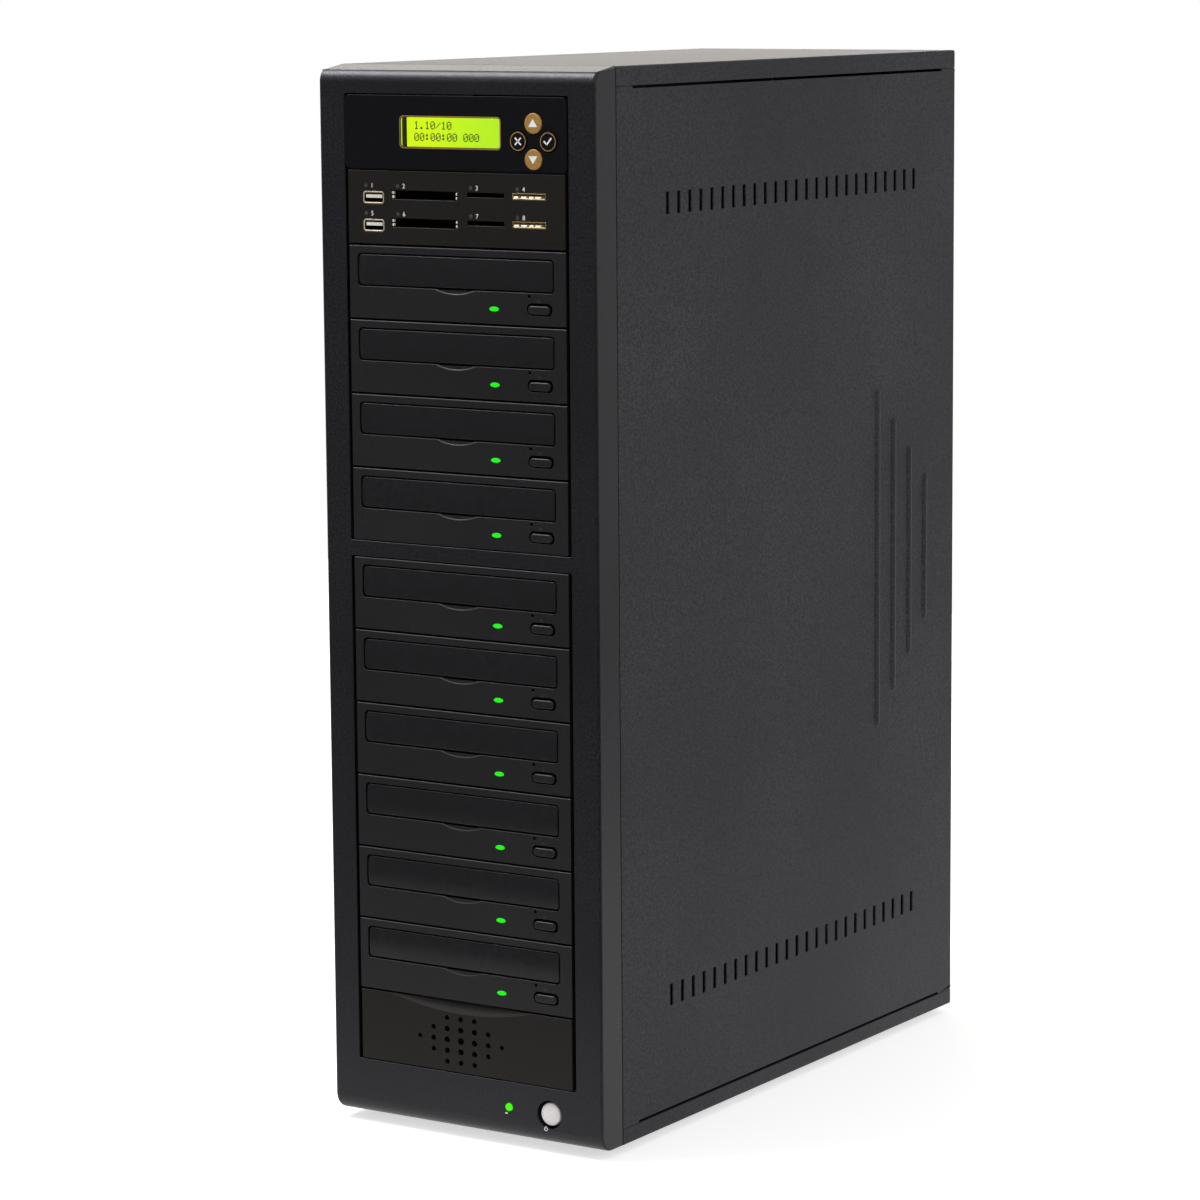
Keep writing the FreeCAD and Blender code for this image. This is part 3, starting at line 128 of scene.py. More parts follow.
def add_node(
    tree: bpy.types.NodeTree,
    kind: str,
    settings: dict[str, object] | None = None,
    inputs: dict[str | int, object] | None = None,
) -> bpy.types.Node:
    """Adds a node with its settings, and sets or links its inputs.

    Args:
        tree: The node tree that gets the node.
        kind: The node's type name.
        settings: Properties of the node itself.
        inputs: Values, or sockets of other nodes, by input name or number.

    Returns:
        The new node.
    """
    made = tree.nodes.new(kind)
    for name, value in (settings or {}).items():
        setattr(made, name, value)
    for name, source in (inputs or {}).items():
        if isinstance(source, bpy.types.NodeSocket):
            tree.links.new(source, made.inputs[name])
        else:
            made.inputs[name].default_value = source
    return made


def scale_for(size: float) -> float:
    """The scale that gives a pattern features of a size in millimetres."""
    return 1.0 / (size * MM)


def object_place(tree: bpy.types.NodeTree) -> bpy.types.NodeSocket:
    """The place on the piece, which patterns are laid on."""
    return add_node(tree, "ShaderNodeTexCoord").outputs["Object"]


def noise(
    tree: bpy.types.NodeTree, where: bpy.types.NodeSocket, size: float, roughness: float = 0.5
) -> bpy.types.NodeSocket:
    """The level of a noise with features of a size in millimetres and finer layers of a strength."""
    inputs = {"Vector": where, "Scale": scale_for(size), "Detail": NOISE_DETAIL, "Roughness": roughness}
    return add_node(tree, "ShaderNodeTexNoise", inputs=inputs).outputs[0]


def map_range(
    tree: bpy.types.NodeTree,
    value: bpy.types.NodeSocket,
    source: Span = (0.0, 1.0),
    target: Span = (0.0, 1.0),
    smooth: bool = False,
) -> bpy.types.NodeSocket:
    """Maps a value from one span to another, and holds it at the ends.

    Args:
        tree: The node tree.
        value: The value.
        source: The span that it comes from.
        target: The span that it goes to.
        smooth: Whether it eases in and out.

    Returns:
        The mapped value.
    """
    settings = {"interpolation_type": "SMOOTHSTEP" if smooth else "LINEAR"}
    inputs = {"Value": value, "From Min": source[0], "From Max": source[1]}
    inputs.update({"To Min": target[0], "To Max": target[1]})
    return add_node(tree, "ShaderNodeMapRange", settings, inputs).outputs[0]


def maths(
    tree: bpy.types.NodeTree, operation: str, first: NodeValue, second: NodeValue
) -> bpy.types.NodeSocket:
    """The result of an operation on two values."""
    return add_node(tree, "ShaderNodeMath", {"operation": operation}, {0: first, 1: second}).outputs[0]


def mix_tones(
    tree: bpy.types.NodeTree, share: bpy.types.NodeSocket, first: str, second: str
) -> bpy.types.NodeSocket:
    """A mix of two colours, given as hex codes, by a share of the second."""
    inputs = {0: share, TONE_FIRST: colour(first), TONE_SECOND: colour(second)}
    return add_node(tree, "ShaderNodeMix", {"data_type": "RGBA"}, inputs).outputs[TONE_RESULT]


def mix_values(
    tree: bpy.types.NodeTree, share: bpy.types.NodeSocket, first: NodeValue, second: NodeValue
) -> bpy.types.NodeSocket:
    """A mix of two values by a share of the second."""
    inputs = {0: share, VALUE_FIRST: first, VALUE_SECOND: second}
    return add_node(tree, "ShaderNodeMix", inputs=inputs).outputs[0]


def seen_rays(tree: bpy.types.NodeTree, path: bpy.types.Node) -> bpy.types.NodeSocket:
    """One for rays that the camera sees, straight or through a clear pane, and zero for others."""
    return maths(tree, "MAXIMUM", path.outputs["Is Camera Ray"], path.outputs["Is Transmission Ray"])


@dataclass(frozen=True)
class Finish:
    """A surface, which each kind of finish dresses with nodes of its own."""

    name: str
    base: str
    roughness: float
    metallic: float = 0.0
    ior: float = 1.5
    shine: float = 0.5

    def material(self) -> bpy.types.Material:
        """Makes the material, or gives the one already made.

        Returns:
            A node material of this finish.
        """
        found = bpy.data.materials.get(self.name)
        if found:
            return found
        made = bpy.data.materials.new(self.name)
        made.use_nodes = True
        made.diffuse_color = colour(self.base)
        tree = made.node_tree
        tree.nodes.clear()
        shader = add_node(
            tree,
            "ShaderNodeBsdfPrincipled",
            inputs={
                "Base Color": colour(self.base),
                "Roughness": self.roughness,
                "Metallic": self.metallic,
                "IOR": self.ior,
                "Specular IOR Level": self.shine,
            },
        )
        add_node(tree, "ShaderNodeOutputMaterial", inputs={"Surface": shader.outputs[0]})
        self.dress(tree, shader)
        return made

    def dress(self, tree: bpy.types.NodeTree, shader: bpy.types.Node) -> None:
        """Adds the nodes of this kind of finish to a material's tree and its main shader."""
        raise NotImplementedError


@dataclass(frozen=True)
class GrainedSkin(Finish):
    """A skin with a fine grain: moulded plastic, textured paint, rubber or ink.

    The grain breaks up the gloss and shows as a speckle of two tones, and a wide cloudiness keeps large
    faces from looking flat. A real grain is near half a millimetre; it is drawn coarser so that it shows.
    """

    tops: str = "#303136"
    grain: float = 1.2
    depth: float = 0.05
    spread: float = 0.1
    cloud: float = 90.0
    crispness: float = 0.62
    bump: float = 0.6
    speckle: Span = (0.38, 0.66)
    swing: Span = (0.3, 0.7)
    drift: Span = (0.45, 1.0)

    def dress(self, tree: bpy.types.NodeTree, shader: bpy.types.Node) -> None:
        """Adds grain to the tone, the roughness and the height.

        Args:
            tree: The material's tree.
            shader: Its main shader.
        """
        where = object_place(tree)
        grain = noise(tree, where, self.grain, self.crispness)
        speckle = map_range(tree, grain, self.speckle)
        drift = map_range(tree, noise(tree, where, self.cloud), self.swing, self.drift)
        share = maths(tree, "MULTIPLY", speckle, drift)
        half = self.spread / 2
        gloss = map_range(tree, grain, self.swing, (self.roughness - half, self.roughness + half))
        relief = add_node(
            tree,
            "ShaderNodeBump",
            inputs={"Height": grain, "Strength": self.bump, "Distance": self.depth * MM},
        )
        tree.links.new(mix_tones(tree, share, self.base, self.tops), shader.inputs["Base Color"])
        tree.links.new(gloss, shader.inputs["Roughness"])
        tree.links.new(relief.outputs[0], shader.inputs["Normal"])


@dataclass(frozen=True)
class SheetMetal(Finish):
    """Bare or plated sheet: patches of slightly different shine, as on zinc-coated steel."""

    patch: float = 14.0
    shade: str = "#8d9094"
    spread: float = 0.14

    def dress(self, tree: bpy.types.NodeTree, shader: bpy.types.Node) -> None:
        """Adds patches to the tone and the roughness.

        Args:
            tree: The material's tree.
            shader: Its main shader.
        """
        patches = add_node(
            tree,
            "ShaderNodeTexVoronoi",
            inputs={"Vector": object_place(tree), "Scale": scale_for(self.patch), "Randomness": 1.0},
        )
        level = add_node(tree, "ShaderNodeSeparateColor", inputs={0: patches.outputs["Color"]})
        half = self.spread / 2
        gloss = map_range(tree, level.outputs[1], target=(self.roughness - half, self.roughness + half))
        tone = mix_tones(tree, level.outputs[0], self.base, self.shade)
        tree.links.new(tone, shader.inputs["Base Color"])
        tree.links.new(gloss, shader.inputs["Roughness"])


@dataclass(frozen=True)
class LitLens(Finish):
    """A clear green lens with a lamp behind it: brightest in the middle of each facet, with a soft rim."""

    glow: str = "#1ef412"
    strength: float = 1.0
    rim: float = 0.35

    def dress(self, tree: bpy.types.NodeTree, shader: bpy.types.Node) -> None:
        """Adds the light that comes through, dimmer towards the rim.

        Args:
            tree: The material's tree.
            shader: Its main shader.
        """
        facing = add_node(tree, "ShaderNodeLayerWeight", inputs={"Blend": self.rim}).outputs["Facing"]
        tree.links.new(mix_tones(tree, facing, self.glow, self.base), shader.inputs["Emission Color"])
        shader.inputs["Emission Strength"].default_value = self.strength


@dataclass(frozen=True)
class LitFilm(Finish):
    """The lit film of a character display: yellower and brighter at the end where its lamp is."""

    glow: str = "#deff06"
    dim: str = "#bcf71c"
    lamp_end: float = -36.0
    far_end: float = 31.0
    strength: float = 1.0

    def dress(self, tree: bpy.types.NodeTree, shader: bpy.types.Node) -> None:
        """Adds the backlight, which fades from one end of the film to the other.

        Args:
            tree: The material's tree.
            shader: Its main shader.
        """
        across = add_node(tree, "ShaderNodeSeparateXYZ", inputs={0: object_place(tree)})
        share = map_range(tree, across.outputs[0], (self.lamp_end * MM, self.far_end * MM), smooth=True)
        tree.links.new(mix_tones(tree, share, self.glow, self.dim), shader.inputs["Emission Color"])
        shader.inputs["Emission Strength"].default_value = self.strength


@dataclass(frozen=True)
class ClearPane(Finish):
    """Clear acrylic: see-through, with a clean reflection and a trace of haze from wiping."""

    haze: float = 25.0
    smear: float = 0.015

    def dress(self, tree: bpy.types.NodeTree, shader: bpy.types.Node) -> None:
        """Adds transmission and a faint uneven haze.

        Args:
            tree: The material's tree.
            shader: Its main shader.
        """
        level = noise(tree, object_place(tree), self.haze)
        gloss = map_range(tree, level, target=(self.roughness, self.roughness + self.smear))
        shader.inputs["Transmission Weight"].default_value = 1.0
        tree.links.new(gloss, shader.inputs["Roughness"])


# Front moulding: black ABS from a spark-eroded mould, so a dull grain with a slightly blue tone.
BEZEL_ABS = GrainedSkin(
    "abs_front_moulding", "#0d0e12", 0.36, shine=0.45, tops="#23242a", grain=1.3, depth=0.13
)
# Case: black powder coat with a textured surface, greyer and rougher than the plastic.
CASE_PAINT = GrainedSkin(
    "powder_coat_case", "#28282b", 0.5, shine=0.15, tops="#48494d", grain=1.2, depth=0.05, cloud=140.0
)
# Drive fronts: black ABS with a fine matt grain.
DRIVE_ABS = GrainedSkin(
    "abs_drive_front", "#141416", 0.38, shine=0.4, tops="#272729", grain=0.9, depth=0.03
)
# Tray fronts: the same plastic from a polished mould, so smooth with a soft gloss.
TRAY_ABS = GrainedSkin(
    "abs_tray_smooth", "#151517", 0.22, shine=0.45, tops="#1c1c1f", grain=2.4, depth=0.004, spread=0.06
)
# Reader and blank fronts: aged black ABS that has gone brownish.
READER_ABS = GrainedSkin(
    "abs_brownish_front", "#161310", 0.42, shine=0.3, tops="#24201c", grain=1.0, depth=0.03
)
# Controller face and dark keys: a satin printed overlay on a black plate.
OVERLAY = GrainedSkin(
    "overlay_satin_black", "#0c0d0f", 0.42, shine=0.12, tops="#13141a", grain=0.8, depth=0.012
)
# Hidden and rear mouldings: plain black ABS with tool marks.
INNER_ABS = GrainedSkin(
    "abs_inner_black", "#0c0c0d", 0.5, shine=0.3, tops="#161617", grain=2.0, depth=0.03
)
# Disc trays: grey-black ABS with a matt top.
PLATE_ABS = GrainedSkin("abs_tray_plate", "#1a1a1c", 0.45, tops="#252528", grain=1.2, depth=0.02)
# Feet: black rubber, dull and dusty.
FOOT_RUBBER = GrainedSkin("rubber_feet_black", "#101010", 0.8, tops="#262524", grain=1.5, depth=0.08)
# Power button: silver paint on plastic, a metallic flake under a clear coat.
SILVER_PAINT = GrainedSkin(
    "paint_silver_flake", "#ece7e3", 0.3, metallic=0.1, tops="#f1edea", grain=0.9, depth=0.002, cloud=12.0
)
# Keys and lines: gold ink, slightly metallic and uneven where it was printed.
GOLD_INK = GrainedSkin(
    "ink_gold", "#a97f3e", 0.4, metallic=0.35, tops="#cfa658", grain=0.7, depth=0.006, cloud=9.0
)
# Signs: white screen ink.
WHITE_INK = GrainedSkin("ink_white", "#e4e4e0", 0.5, tops="#f6f6f3", grain=0.6, depth=0.004, cloud=10.0)
# Eject signs on the drive fronts: dark grey ink, which hardly shows on black.
GREY_INK = GrainedSkin("ink_dark_grey", "#313134", 0.5, shine=0.2, tops="#3d3d41", grain=0.6, depth=0.004)
# Unlit reader lamps: milky grey lenses.
UNLIT_LENS = GrainedSkin(
    "lens_unlit_grey", "#393a39", 0.3, tops="#464745", grain=1.0, depth=0.004, cloud=6.0
)
# Display glass beside the lit film: dull green.
DISPLAY_EDGE = GrainedSkin("display_green_edge", "#4c6a12", 0.3, tops="#5f8418", grain=3.0, depth=0.004)
# Display segments: dark green, as a liquid crystal over a green backlight.
SEGMENT = GrainedSkin("display_segment", "#2c3c02", 0.4, shine=0.1, tops="#3a4d04", grain=0.8, depth=0.002)
# Port tongues: white nylon.
TONGUE_NYLON = GrainedSkin("nylon_white", "#d5d3cc", 0.45, tops="#e6e4dd", grain=1.0, depth=0.01, cloud=8.0)
# Circuit boards: green solder mask over copper.
SOLDER_MASK = GrainedSkin(
    "solder_mask_green", "#0f3a1e", 0.35, tops="#1c5a2f", grain=2.5, depth=0.02, cloud=16.0
)
# Leads: dark brown woven sleeve.
LEAD_SLEEVE = GrainedSkin("lead_sleeve", "#2a2620", 0.6, tops="#443d30", grain=1.6, depth=0.08)
# Carriers, drive cases and supply: zinc-coated steel with a faint spangle.
ZINC_STEEL = SheetMetal(
    "zinc_coated_steel", "#b4b7ba", 0.38, metallic=1.0, patch=4.5, shade="#a6a9ac", spread=0.08
)
# Frame and rails behind the front: steel made dark, with a faint metal sheen, as painted shade seen through
# the side slots and the gap behind the moulding.
DARK_STEEL_PAINTED_SHADE = SheetMetal("dark_steel_painted_shade", "#1b1c1e", 0.42, metallic=0.8, shade="#27292c")
# Screws: black oxide on steel, with worn edges.
BLACK_OXIDE = SheetMetal("black_oxide_steel", "#2b2c2f", 0.36, metallic=0.8, patch=2.0, shade="#46484c")
# Port shells: nickel plate on steel, with the warm tint of the light painted into its colour.
NICKEL_PAINTED_WARM_LIGHT = SheetMetal("nickel_plate_painted_warm_light", "#ecdcc4", 0.3, metallic=0.6, patch=5.0, shade="#d3bd9b")
# Port contacts and slot mouths: gold-coloured brass.
BRASS_PLATE = SheetMetal("brass_plate", "#cdb277", 0.3, metallic=0.75, patch=4.0, shade="#a5853f")
# Narrow sockets, their springs and the guide ends: pale tinned brass, its colour lifted to nearly white as
# a painted highlight.
PALE_BRASS_PAINTED_HIGHLIGHT = SheetMetal("pale_brass_painted_highlight", "#fff8e6", 0.32, metallic=0.3, patch=4.0, shade="#f8e8c0")
# Busy lamps: clear green lenses, lit from behind.
GREEN_LENS = LitLens("lens_green_lit", "#0b6a0a", 0.25, shine=0.2, glow="#1ef412")
# Power lamp: a lens of the same kind, with a yellower light.
POWER_LENS = LitLens("lens_power_lit", "#1c7a05", 0.2, shine=0.2, glow="#48f400")
# Display film: yellow-green, lit from one end.
LIT_FILM = LitFilm("display_lit_film", "#1c2604", 0.35, shine=0.1)
# Display window: thin clear acrylic that hardly bends the light.
WINDOW_ACRYLIC = ClearPane("acrylic_clear", "#f4f6ee", 0.0, ior=1.2, shine=0.3)


def middle_of(part: bmesh.types.BMEdge | bmesh.types.BMFace) -> Vector:
    """The mean of the corners of an edge or a face."""
    corners = [point.co for point in part.verts]
    return sum(corners, Vector()) / len(corners)


def edge_along(axis: Axis, **levels: float) -> EdgeTest:
    """A test for straight edges that run along an axis.

    Args:
        axis: The direction.
        levels: Where the edge's middle has to be, as x, y or z in metres.

    Returns:
        A function that says whether an edge passes.
    """

    def passes(edge: bmesh.types.BMEdge) -> bool:
        """Whether an edge runs along the axis at those levels.

        Args:
            edge: The edge.

        Returns:
            True if it does.
        """
        step = edge.verts[1].co - edge.verts[0].co
        if abs(abs(step[axis.value]) - step.length) > NEAR:
            return False
        middle = middle_of(edge)
        return all(abs(middle["xyz".index(name)] - level) < NEAR for name, level in levels.items())

    return passes


def rim_at(depth: float) -> EdgeTest:
    """A test for edges that lie in one plane across the depth axis."""
    return lambda edge: all(abs(point.co.y - depth) < NEAR for point in edge.verts)


class Workpiece:
    """A mesh that is modelled with Blender's own operators, as by hand."""

    def __init__(self, obj: bpy.types.Object, name: str) -> None:
        """Takes an object on the bench under a name of its own.

        Args:
            obj: The object.
            name: The name.
        """
        self.obj = obj
        self.obj.name = name
        self.obj.data.name = name

    @staticmethod
    def clear_bench() -> None:
        """Leaves edit mode and deselects everything."""
        if bpy.context.object and bpy.context.object.mode != "OBJECT":
            bpy.ops.object.mode_set(mode="OBJECT")
        bpy.ops.object.select_all(action="DESELECT")

    @classmethod
    def block(cls, name: str, low: Vector, high: Vector, turn: float = 0.0) -> "Workpiece":
        """A block between two corners.

        Args:
            name: The piece's name.
            low: Its lowest corner in metres.
            high: Its highest corner.
            turn: A turn about the depth axis through its middle, in degrees.

        Returns:
            The block, with its place in its mesh.
        """
        cls.clear_bench()
        bpy.ops.mesh.primitive_cube_add(
            size=1.0,
            location=(low + high) / 2,
            rotation=(0.0, math.radians(turn), 0.0),
            scale=high - low,
        )
        bpy.ops.object.transform_apply(location=True, rotation=True, scale=True)
        return cls(bpy.context.object, name)

    @classmethod
    def slab(
        cls, name: str, low: Vector, high: Vector, axis: Axis, radius: float, steps: int = 6
    ) -> "Workpiece":
        """A block whose edges along one axis are rounded, with a radius in metres."""
        return cls.block(name, low, high).bevel(edge_along(axis), radius, steps)

    @classmethod
    def bar(
        cls,
        name: str,
        front: Vector,
        length: float,
        radius: float,
        far_radius: float | None = None,
        sides: int = 48,
        axis: Axis = Axis.Y,
    ) -> "Workpiece":
        """A round or many-sided bar that runs back from its front end, or up from its lower end.

        Args:
            name: The piece's name.
            front: The middle of the near end in metres.
            length: How far it runs.
            radius: The radius at the near end.
            far_radius: The radius at the far end, if it tapers.
            sides: The number of sides.
            axis: Depth or height.

        Returns:
            The bar, with its place in its mesh.
        """
        cls.clear_bench()
        far = radius if far_radius is None else far_radius
        deep = axis is Axis.Y
        step = Vector((0.0, length / 2, 0.0)) if deep else Vector((0.0, 0.0, length / 2))
        bpy.ops.mesh.primitive_cone_add(
            vertices=sides,
            radius1=far if deep else radius,
            radius2=radius if deep else far,
            depth=length,
            location=front + step,
            rotation=(math.pi / 2 if deep else 0.0, 0.0, 0.0),
        )
        bpy.ops.object.transform_apply(location=True, rotation=True, scale=True)
        return cls(bpy.context.object, name)

    @classmethod
    def from_node(cls, node: str) -> "Workpiece":
        """A copy of a solid's mesh, with its triangles merged into clean faces.

        Args:
            node: The node's name.

        Returns:
            The copy, ready to be shaped.
        """
        cls.clear_bench()
        twin = bpy.data.objects.new(node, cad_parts[node].data.copy())
        bpy.context.scene.collection.objects.link(twin)
        piece = cls(twin, f"{node}_finished")
        piece.activate()
        bpy.ops.mesh.customdata_custom_splitnormals_clear()
        with piece.editing():
            bpy.ops.mesh.remove_doubles(threshold=MERGE_GAP)
            bpy.ops.mesh.dissolve_limited(angle_limit=FLAT_ANGLE)
        return piece

    def activate(self) -> None:
        """Makes this the one selected object."""
        self.clear_bench()
        self.obj.select_set(True)
        bpy.context.view_layer.objects.active = self.obj

    @contextmanager
    def editing(self) -> Iterator[None]:
        """Opens edit mode with the whole piece selected, and leaves it afterwards."""
        self.activate()
        bpy.ops.object.mode_set(mode="EDIT")
        bpy.ops.mesh.select_all(action="SELECT")
        yield
        bpy.ops.object.mode_set(mode="OBJECT")

    @contextmanager
    def picking(self, pick: Pick, passes: Callable[..., bool]) -> Iterator[None]:
        """Opens edit mode with the points, edges or faces that pass a test selected.

        Args:
            pick: What is selected.
            passes: The test.
        """
        with self.editing():
            bpy.ops.mesh.select_mode(type=pick.value)
            bpy.ops.mesh.select_all(action="DESELECT")
            mesh = bmesh.from_edit_mesh(self.obj.data)
            parts = {Pick.POINTS: mesh.verts, Pick.EDGES: mesh.edges, Pick.FACES: mesh.faces}[pick]
            for part in parts:
                if passes(part):
                    part.select_set(True)
            mesh.select_flush_mode()
            bmesh.update_edit_mesh(self.obj.data)
            yield

    def bevel(self, passes: EdgeTest, width: float, steps: int = 4) -> "Workpiece":
        """Rounds the edges that pass a test.

        Args:
            passes: The test.
            width: The radius in metres.
            steps: Facets in the rounding.

        Returns:
            This piece.
        """
        with self.picking(Pick.EDGES, passes):
            bpy.ops.mesh.bevel(offset=width, segments=steps, profile=0.5, affect="EDGES")
        return self

    def crown(self, front: float, rows: int, drop: float) -> "Workpiece":
        """Bows the front face: it stays where it is along its middle and falls back above and below.

        Args:
            front: The depth of the face in metres.
            rows: How many level cuts divide it.
            drop: How far its upper and lower edges fall back.

        Returns:
            This piece.
        """
        heights = [point.co.z for point in self.obj.data.vertices]
        low, high = min(heights), max(heights)
        for i in range(1, rows + 1):
            level = low + (high - low) * i / (rows + 1)
            self.score(Vector((0.0, 0.0, level)), UPWARD)
        levels = sorted({round(point.co.z, 7) for point in self.obj.data.vertices})
        for level in levels:
            away = (2 * level - low - high) / (high - low)
            with self.picking(
                Pick.POINTS,
                lambda point: abs(point.co.z - level) < NEAR and abs(point.co.y - front) < NEAR,
            ):
                bpy.ops.transform.translate(value=(0.0, drop * away * away, 0.0))
        return self

    def dome(self, front: float, width: float, rise: float) -> "Workpiece":
        """Raises the middle of a round front face.

        Args:
            front: The depth of the face in metres.
            width: How far in from its rim the raised part starts.
            rise: How far its middle comes forward.

        Returns:
            This piece.
        """
        with self.picking(
            Pick.FACES,
            lambda face: abs(middle_of(face).y - front) < NEAR and abs(face.normal.y) > FACING,
        ):
            for share in DOME_SHARES:
                bpy.ops.mesh.inset(thickness=width)
                bpy.ops.transform.translate(value=(0.0, -rise * share, 0.0))
        return self

    def combine(self, work: Work, tools: Iterable["Workpiece"]) -> "Workpiece":
        """Changes this piece by others, and uses them up.

        Args:
            work: Whether they are taken away or added.
            tools: The other pieces.

        Returns:
            This piece.
        """
        for tool in tools:
            self.activate()
            change = self.obj.modifiers.new("combine", "BOOLEAN")
            change.operation = work.value
            change.solver = "EXACT"
            change.object = tool.obj
            bpy.ops.object.modifier_apply(modifier=change.name)
            bpy.data.objects.remove(tool.obj)
        return self

    def cut(self, *tools: "Workpiece") -> "Workpiece":
        """Takes other pieces away from this one."""
        return self.combine(Work.CUT, tools)

    def weld(self, *tools: "Workpiece") -> "Workpiece":
        """Adds other pieces to this one as one skin."""
        return self.combine(Work.WELD, tools)

    def join(self, *others: "Workpiece") -> "Workpiece":
        """Makes other pieces part of this one's mesh.

        Args:
            others: The pieces that are taken in.

        Returns:
            This piece.
        """
        self.activate()
        for other in others:
            other.obj.select_set(True)
        bpy.ops.object.join()
        return self

    def score(self, point: Vector, across: Vector) -> "Workpiece":
        """Divides the faces along a plane, so that shading on one side doesn't reach the other.

        Args:
            point: A point of the plane in metres.
            across: The direction across the plane.

        Returns:
            This piece.
        """
        with self.picking(Pick.FACES, lambda face: True):
            bpy.ops.mesh.bisect(plane_co=point, plane_no=across)
        return self

    def shave(self, point: Vector, outward: Vector) -> "Workpiece":
        """Takes away all that is beyond a plane.

        Args:
            point: A point of the plane in metres.
            outward: The direction that is taken away.

        Returns:
            This piece.
        """
        with self.picking(Pick.FACES, lambda face: True):
            bpy.ops.mesh.bisect(plane_co=point, plane_no=outward, use_fill=True, clear_outer=True)
        return self

    def soften(self, width: float, steps: int = 2, angle: float = 30.0) -> "Workpiece":
        """Rounds every sharp edge a little and evens the shading of the faces between.

        Args:
            width: The radius in metres.
            steps: Facets in the rounding.
            angle: Edges sharper than this many degrees are rounded.

        Returns:
            This piece.
        """
        self.activate()
        bpy.ops.object.shade_smooth()
        edges = self.obj.modifiers.new("soft_edges", "BEVEL")
        edges.width = width
        edges.segments = steps
        edges.limit_method = "ANGLE"
        edges.angle_limit = math.radians(angle)
        edges.use_clamp_overlap = False
        bpy.ops.object.modifier_apply(modifier=edges.name)
        even = self.obj.modifiers.new("even_shading", "WEIGHTED_NORMAL")
        even.weight = 100
        bpy.ops.object.modifier_apply(modifier=even.name)
        return self

    def copied(self, name: str, offset: Vector) -> "Workpiece":
        """A copy with its own mesh, moved.

        Args:
            name: The copy's name.
            offset: How far it is moved, in metres.

        Returns:
            The copy.
        """
        self.clear_bench()
        twin = self.obj.copy()
        twin.data = self.obj.data.copy()
        twin.data.transform(Matrix.Translation(offset))
        bpy.context.scene.collection.objects.link(twin)
        return Workpiece(twin, name)

    def discard(self) -> None:
        """Takes a pattern piece off the bench once its copies are made."""
        bpy.data.objects.remove(self.obj)

    def fit(self, finish: Finish, body: str, slot: str, nodes: Iterable[str] = ()) -> "Workpiece":
        """Gives the piece its finish and lets it move with a body.

        Args:
            finish: The surface.
            body: The body that it rides on.
            slot: The record's material slot; not used.
            nodes: The nodes that it stands for.

        Returns:
            This piece.
        """
        self.obj.data.materials.clear()
        self.obj.data.materials.append(finish.material())
        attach(self.obj, body)
        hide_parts(*nodes)
        LOG.info("%s rides on %s", self.obj.name, body)
        return self


def at(across: float, back: float, up: float) -> Vector:
    """A place in metres from sizes in millimetres."""
    return Vector((across, back, up)) * MM


def box_middle(node: str) -> Vector:
    """The middle of a node's box."""
    low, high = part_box(node)
    return (low + high) / 2


def arc_radius(width: float, drop: float) -> float:
    """The radius of an arc that is so wide and so deep."""
    half = width / 2
    return (half * half + drop * drop) / (2 * drop)


# The power button's place on the moulding, measured from the middle of its solid.
BUTTON_OFFSET = at(-1.2, 0.0, -0.6)


def dress_node(node: str, finish: Finish) -> None:
    """Gives a solid that stays as it is a finish of its own.

    Args:
        node: The node's name.
        finish: The surface.
    """
    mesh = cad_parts[node].data
    mesh.materials.clear()
    mesh.materials.append(finish.material())
    LOG.info("%s keeps its solid", node)


@dataclass
class FrontBezel:
    """The front moulding: a sloped brow, a rolled foot, two bay openings and two round holes."""

    roll: float = 11.0
    top_slope: float = 9.0
    brow_fall: float = 4.4
    brow_slope: float = 23.0
    brow_roll: float = 5.3
    facets: int = 14
    edge: float = 1.6
    opening_width: float = 152.5
    opening_corner: float = 0.8
    lower_bottom: float = 34.0
    lower_height: float = 299.1
    bridge: float = 9.0
    upper_height: float = 256.4
    button_hole: float = 16.6
    lamp_hole: float = 5.6
    rear_gap: float = 0.7
    soft_edge: float = 0.35

    def build(self) -> Workpiece:
        """Models the moulding from a block.

        Returns:
            The moulding.
        """
        low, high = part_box("front_bezel")
        high.y -= self.rear_gap * MM
        made = Workpiece.block("front_moulding", low, high)
        made.bevel(edge_along(Axis.X, y=low.y, z=low.z), self.roll * MM, self.facets)
        brow = high.z - self.brow_fall * MM
        for depth, level, slope in ((high.y, high.z, self.top_slope), (low.y, brow, self.brow_slope)):
            tilt = math.radians(slope)
            made.shave(Vector((0.0, depth, level)), Vector((0.0, -math.sin(tilt), math.cos(tilt))))
        made.bevel(edge_along(Axis.X, y=low.y, z=brow), self.brow_roll * MM, self.facets)
        made.bevel(
            lambda edge: abs(abs(middle_of(edge).x) - high.x) < NEAR and middle_of(edge).y < high.y - NEAR,
            self.edge * MM,
        )
        bottoms = (self.lower_bottom, self.lower_bottom + self.lower_height + self.bridge)
        for bottom, height in zip(bottoms, (self.lower_height, self.upper_height)):
            corner = Vector((-self.opening_width / 2 * MM, low.y - self.roll * MM, low.z + bottom * MM))
            through = Vector((0.0, high.y - low.y + 2 * self.roll * MM, 0.0))
            far = corner + (at(self.opening_width, 0.0, height) + through)
            made.cut(Workpiece.slab("bay_opening", corner, far, Axis.Y, self.opening_corner * MM, 3))
        holes = (
            (box_middle("power_button") + BUTTON_OFFSET, self.button_hole),
            (box_middle("power_lamp"), self.lamp_hole),
        )
        for spot, width in holes:
            spot.y = low.y - MM
            made.cut(Workpiece.bar("round_hole", spot, high.y - low.y + 2 * MM, width / 2 * MM))
        return made.soften(self.soft_edge * MM)

    def dress(self, piece: Workpiece) -> None:
        """Fits the moulding in place of its solid."""
        piece.fit(BEZEL_ABS, CHASSIS, "bezel_plastic", ["front_bezel"])


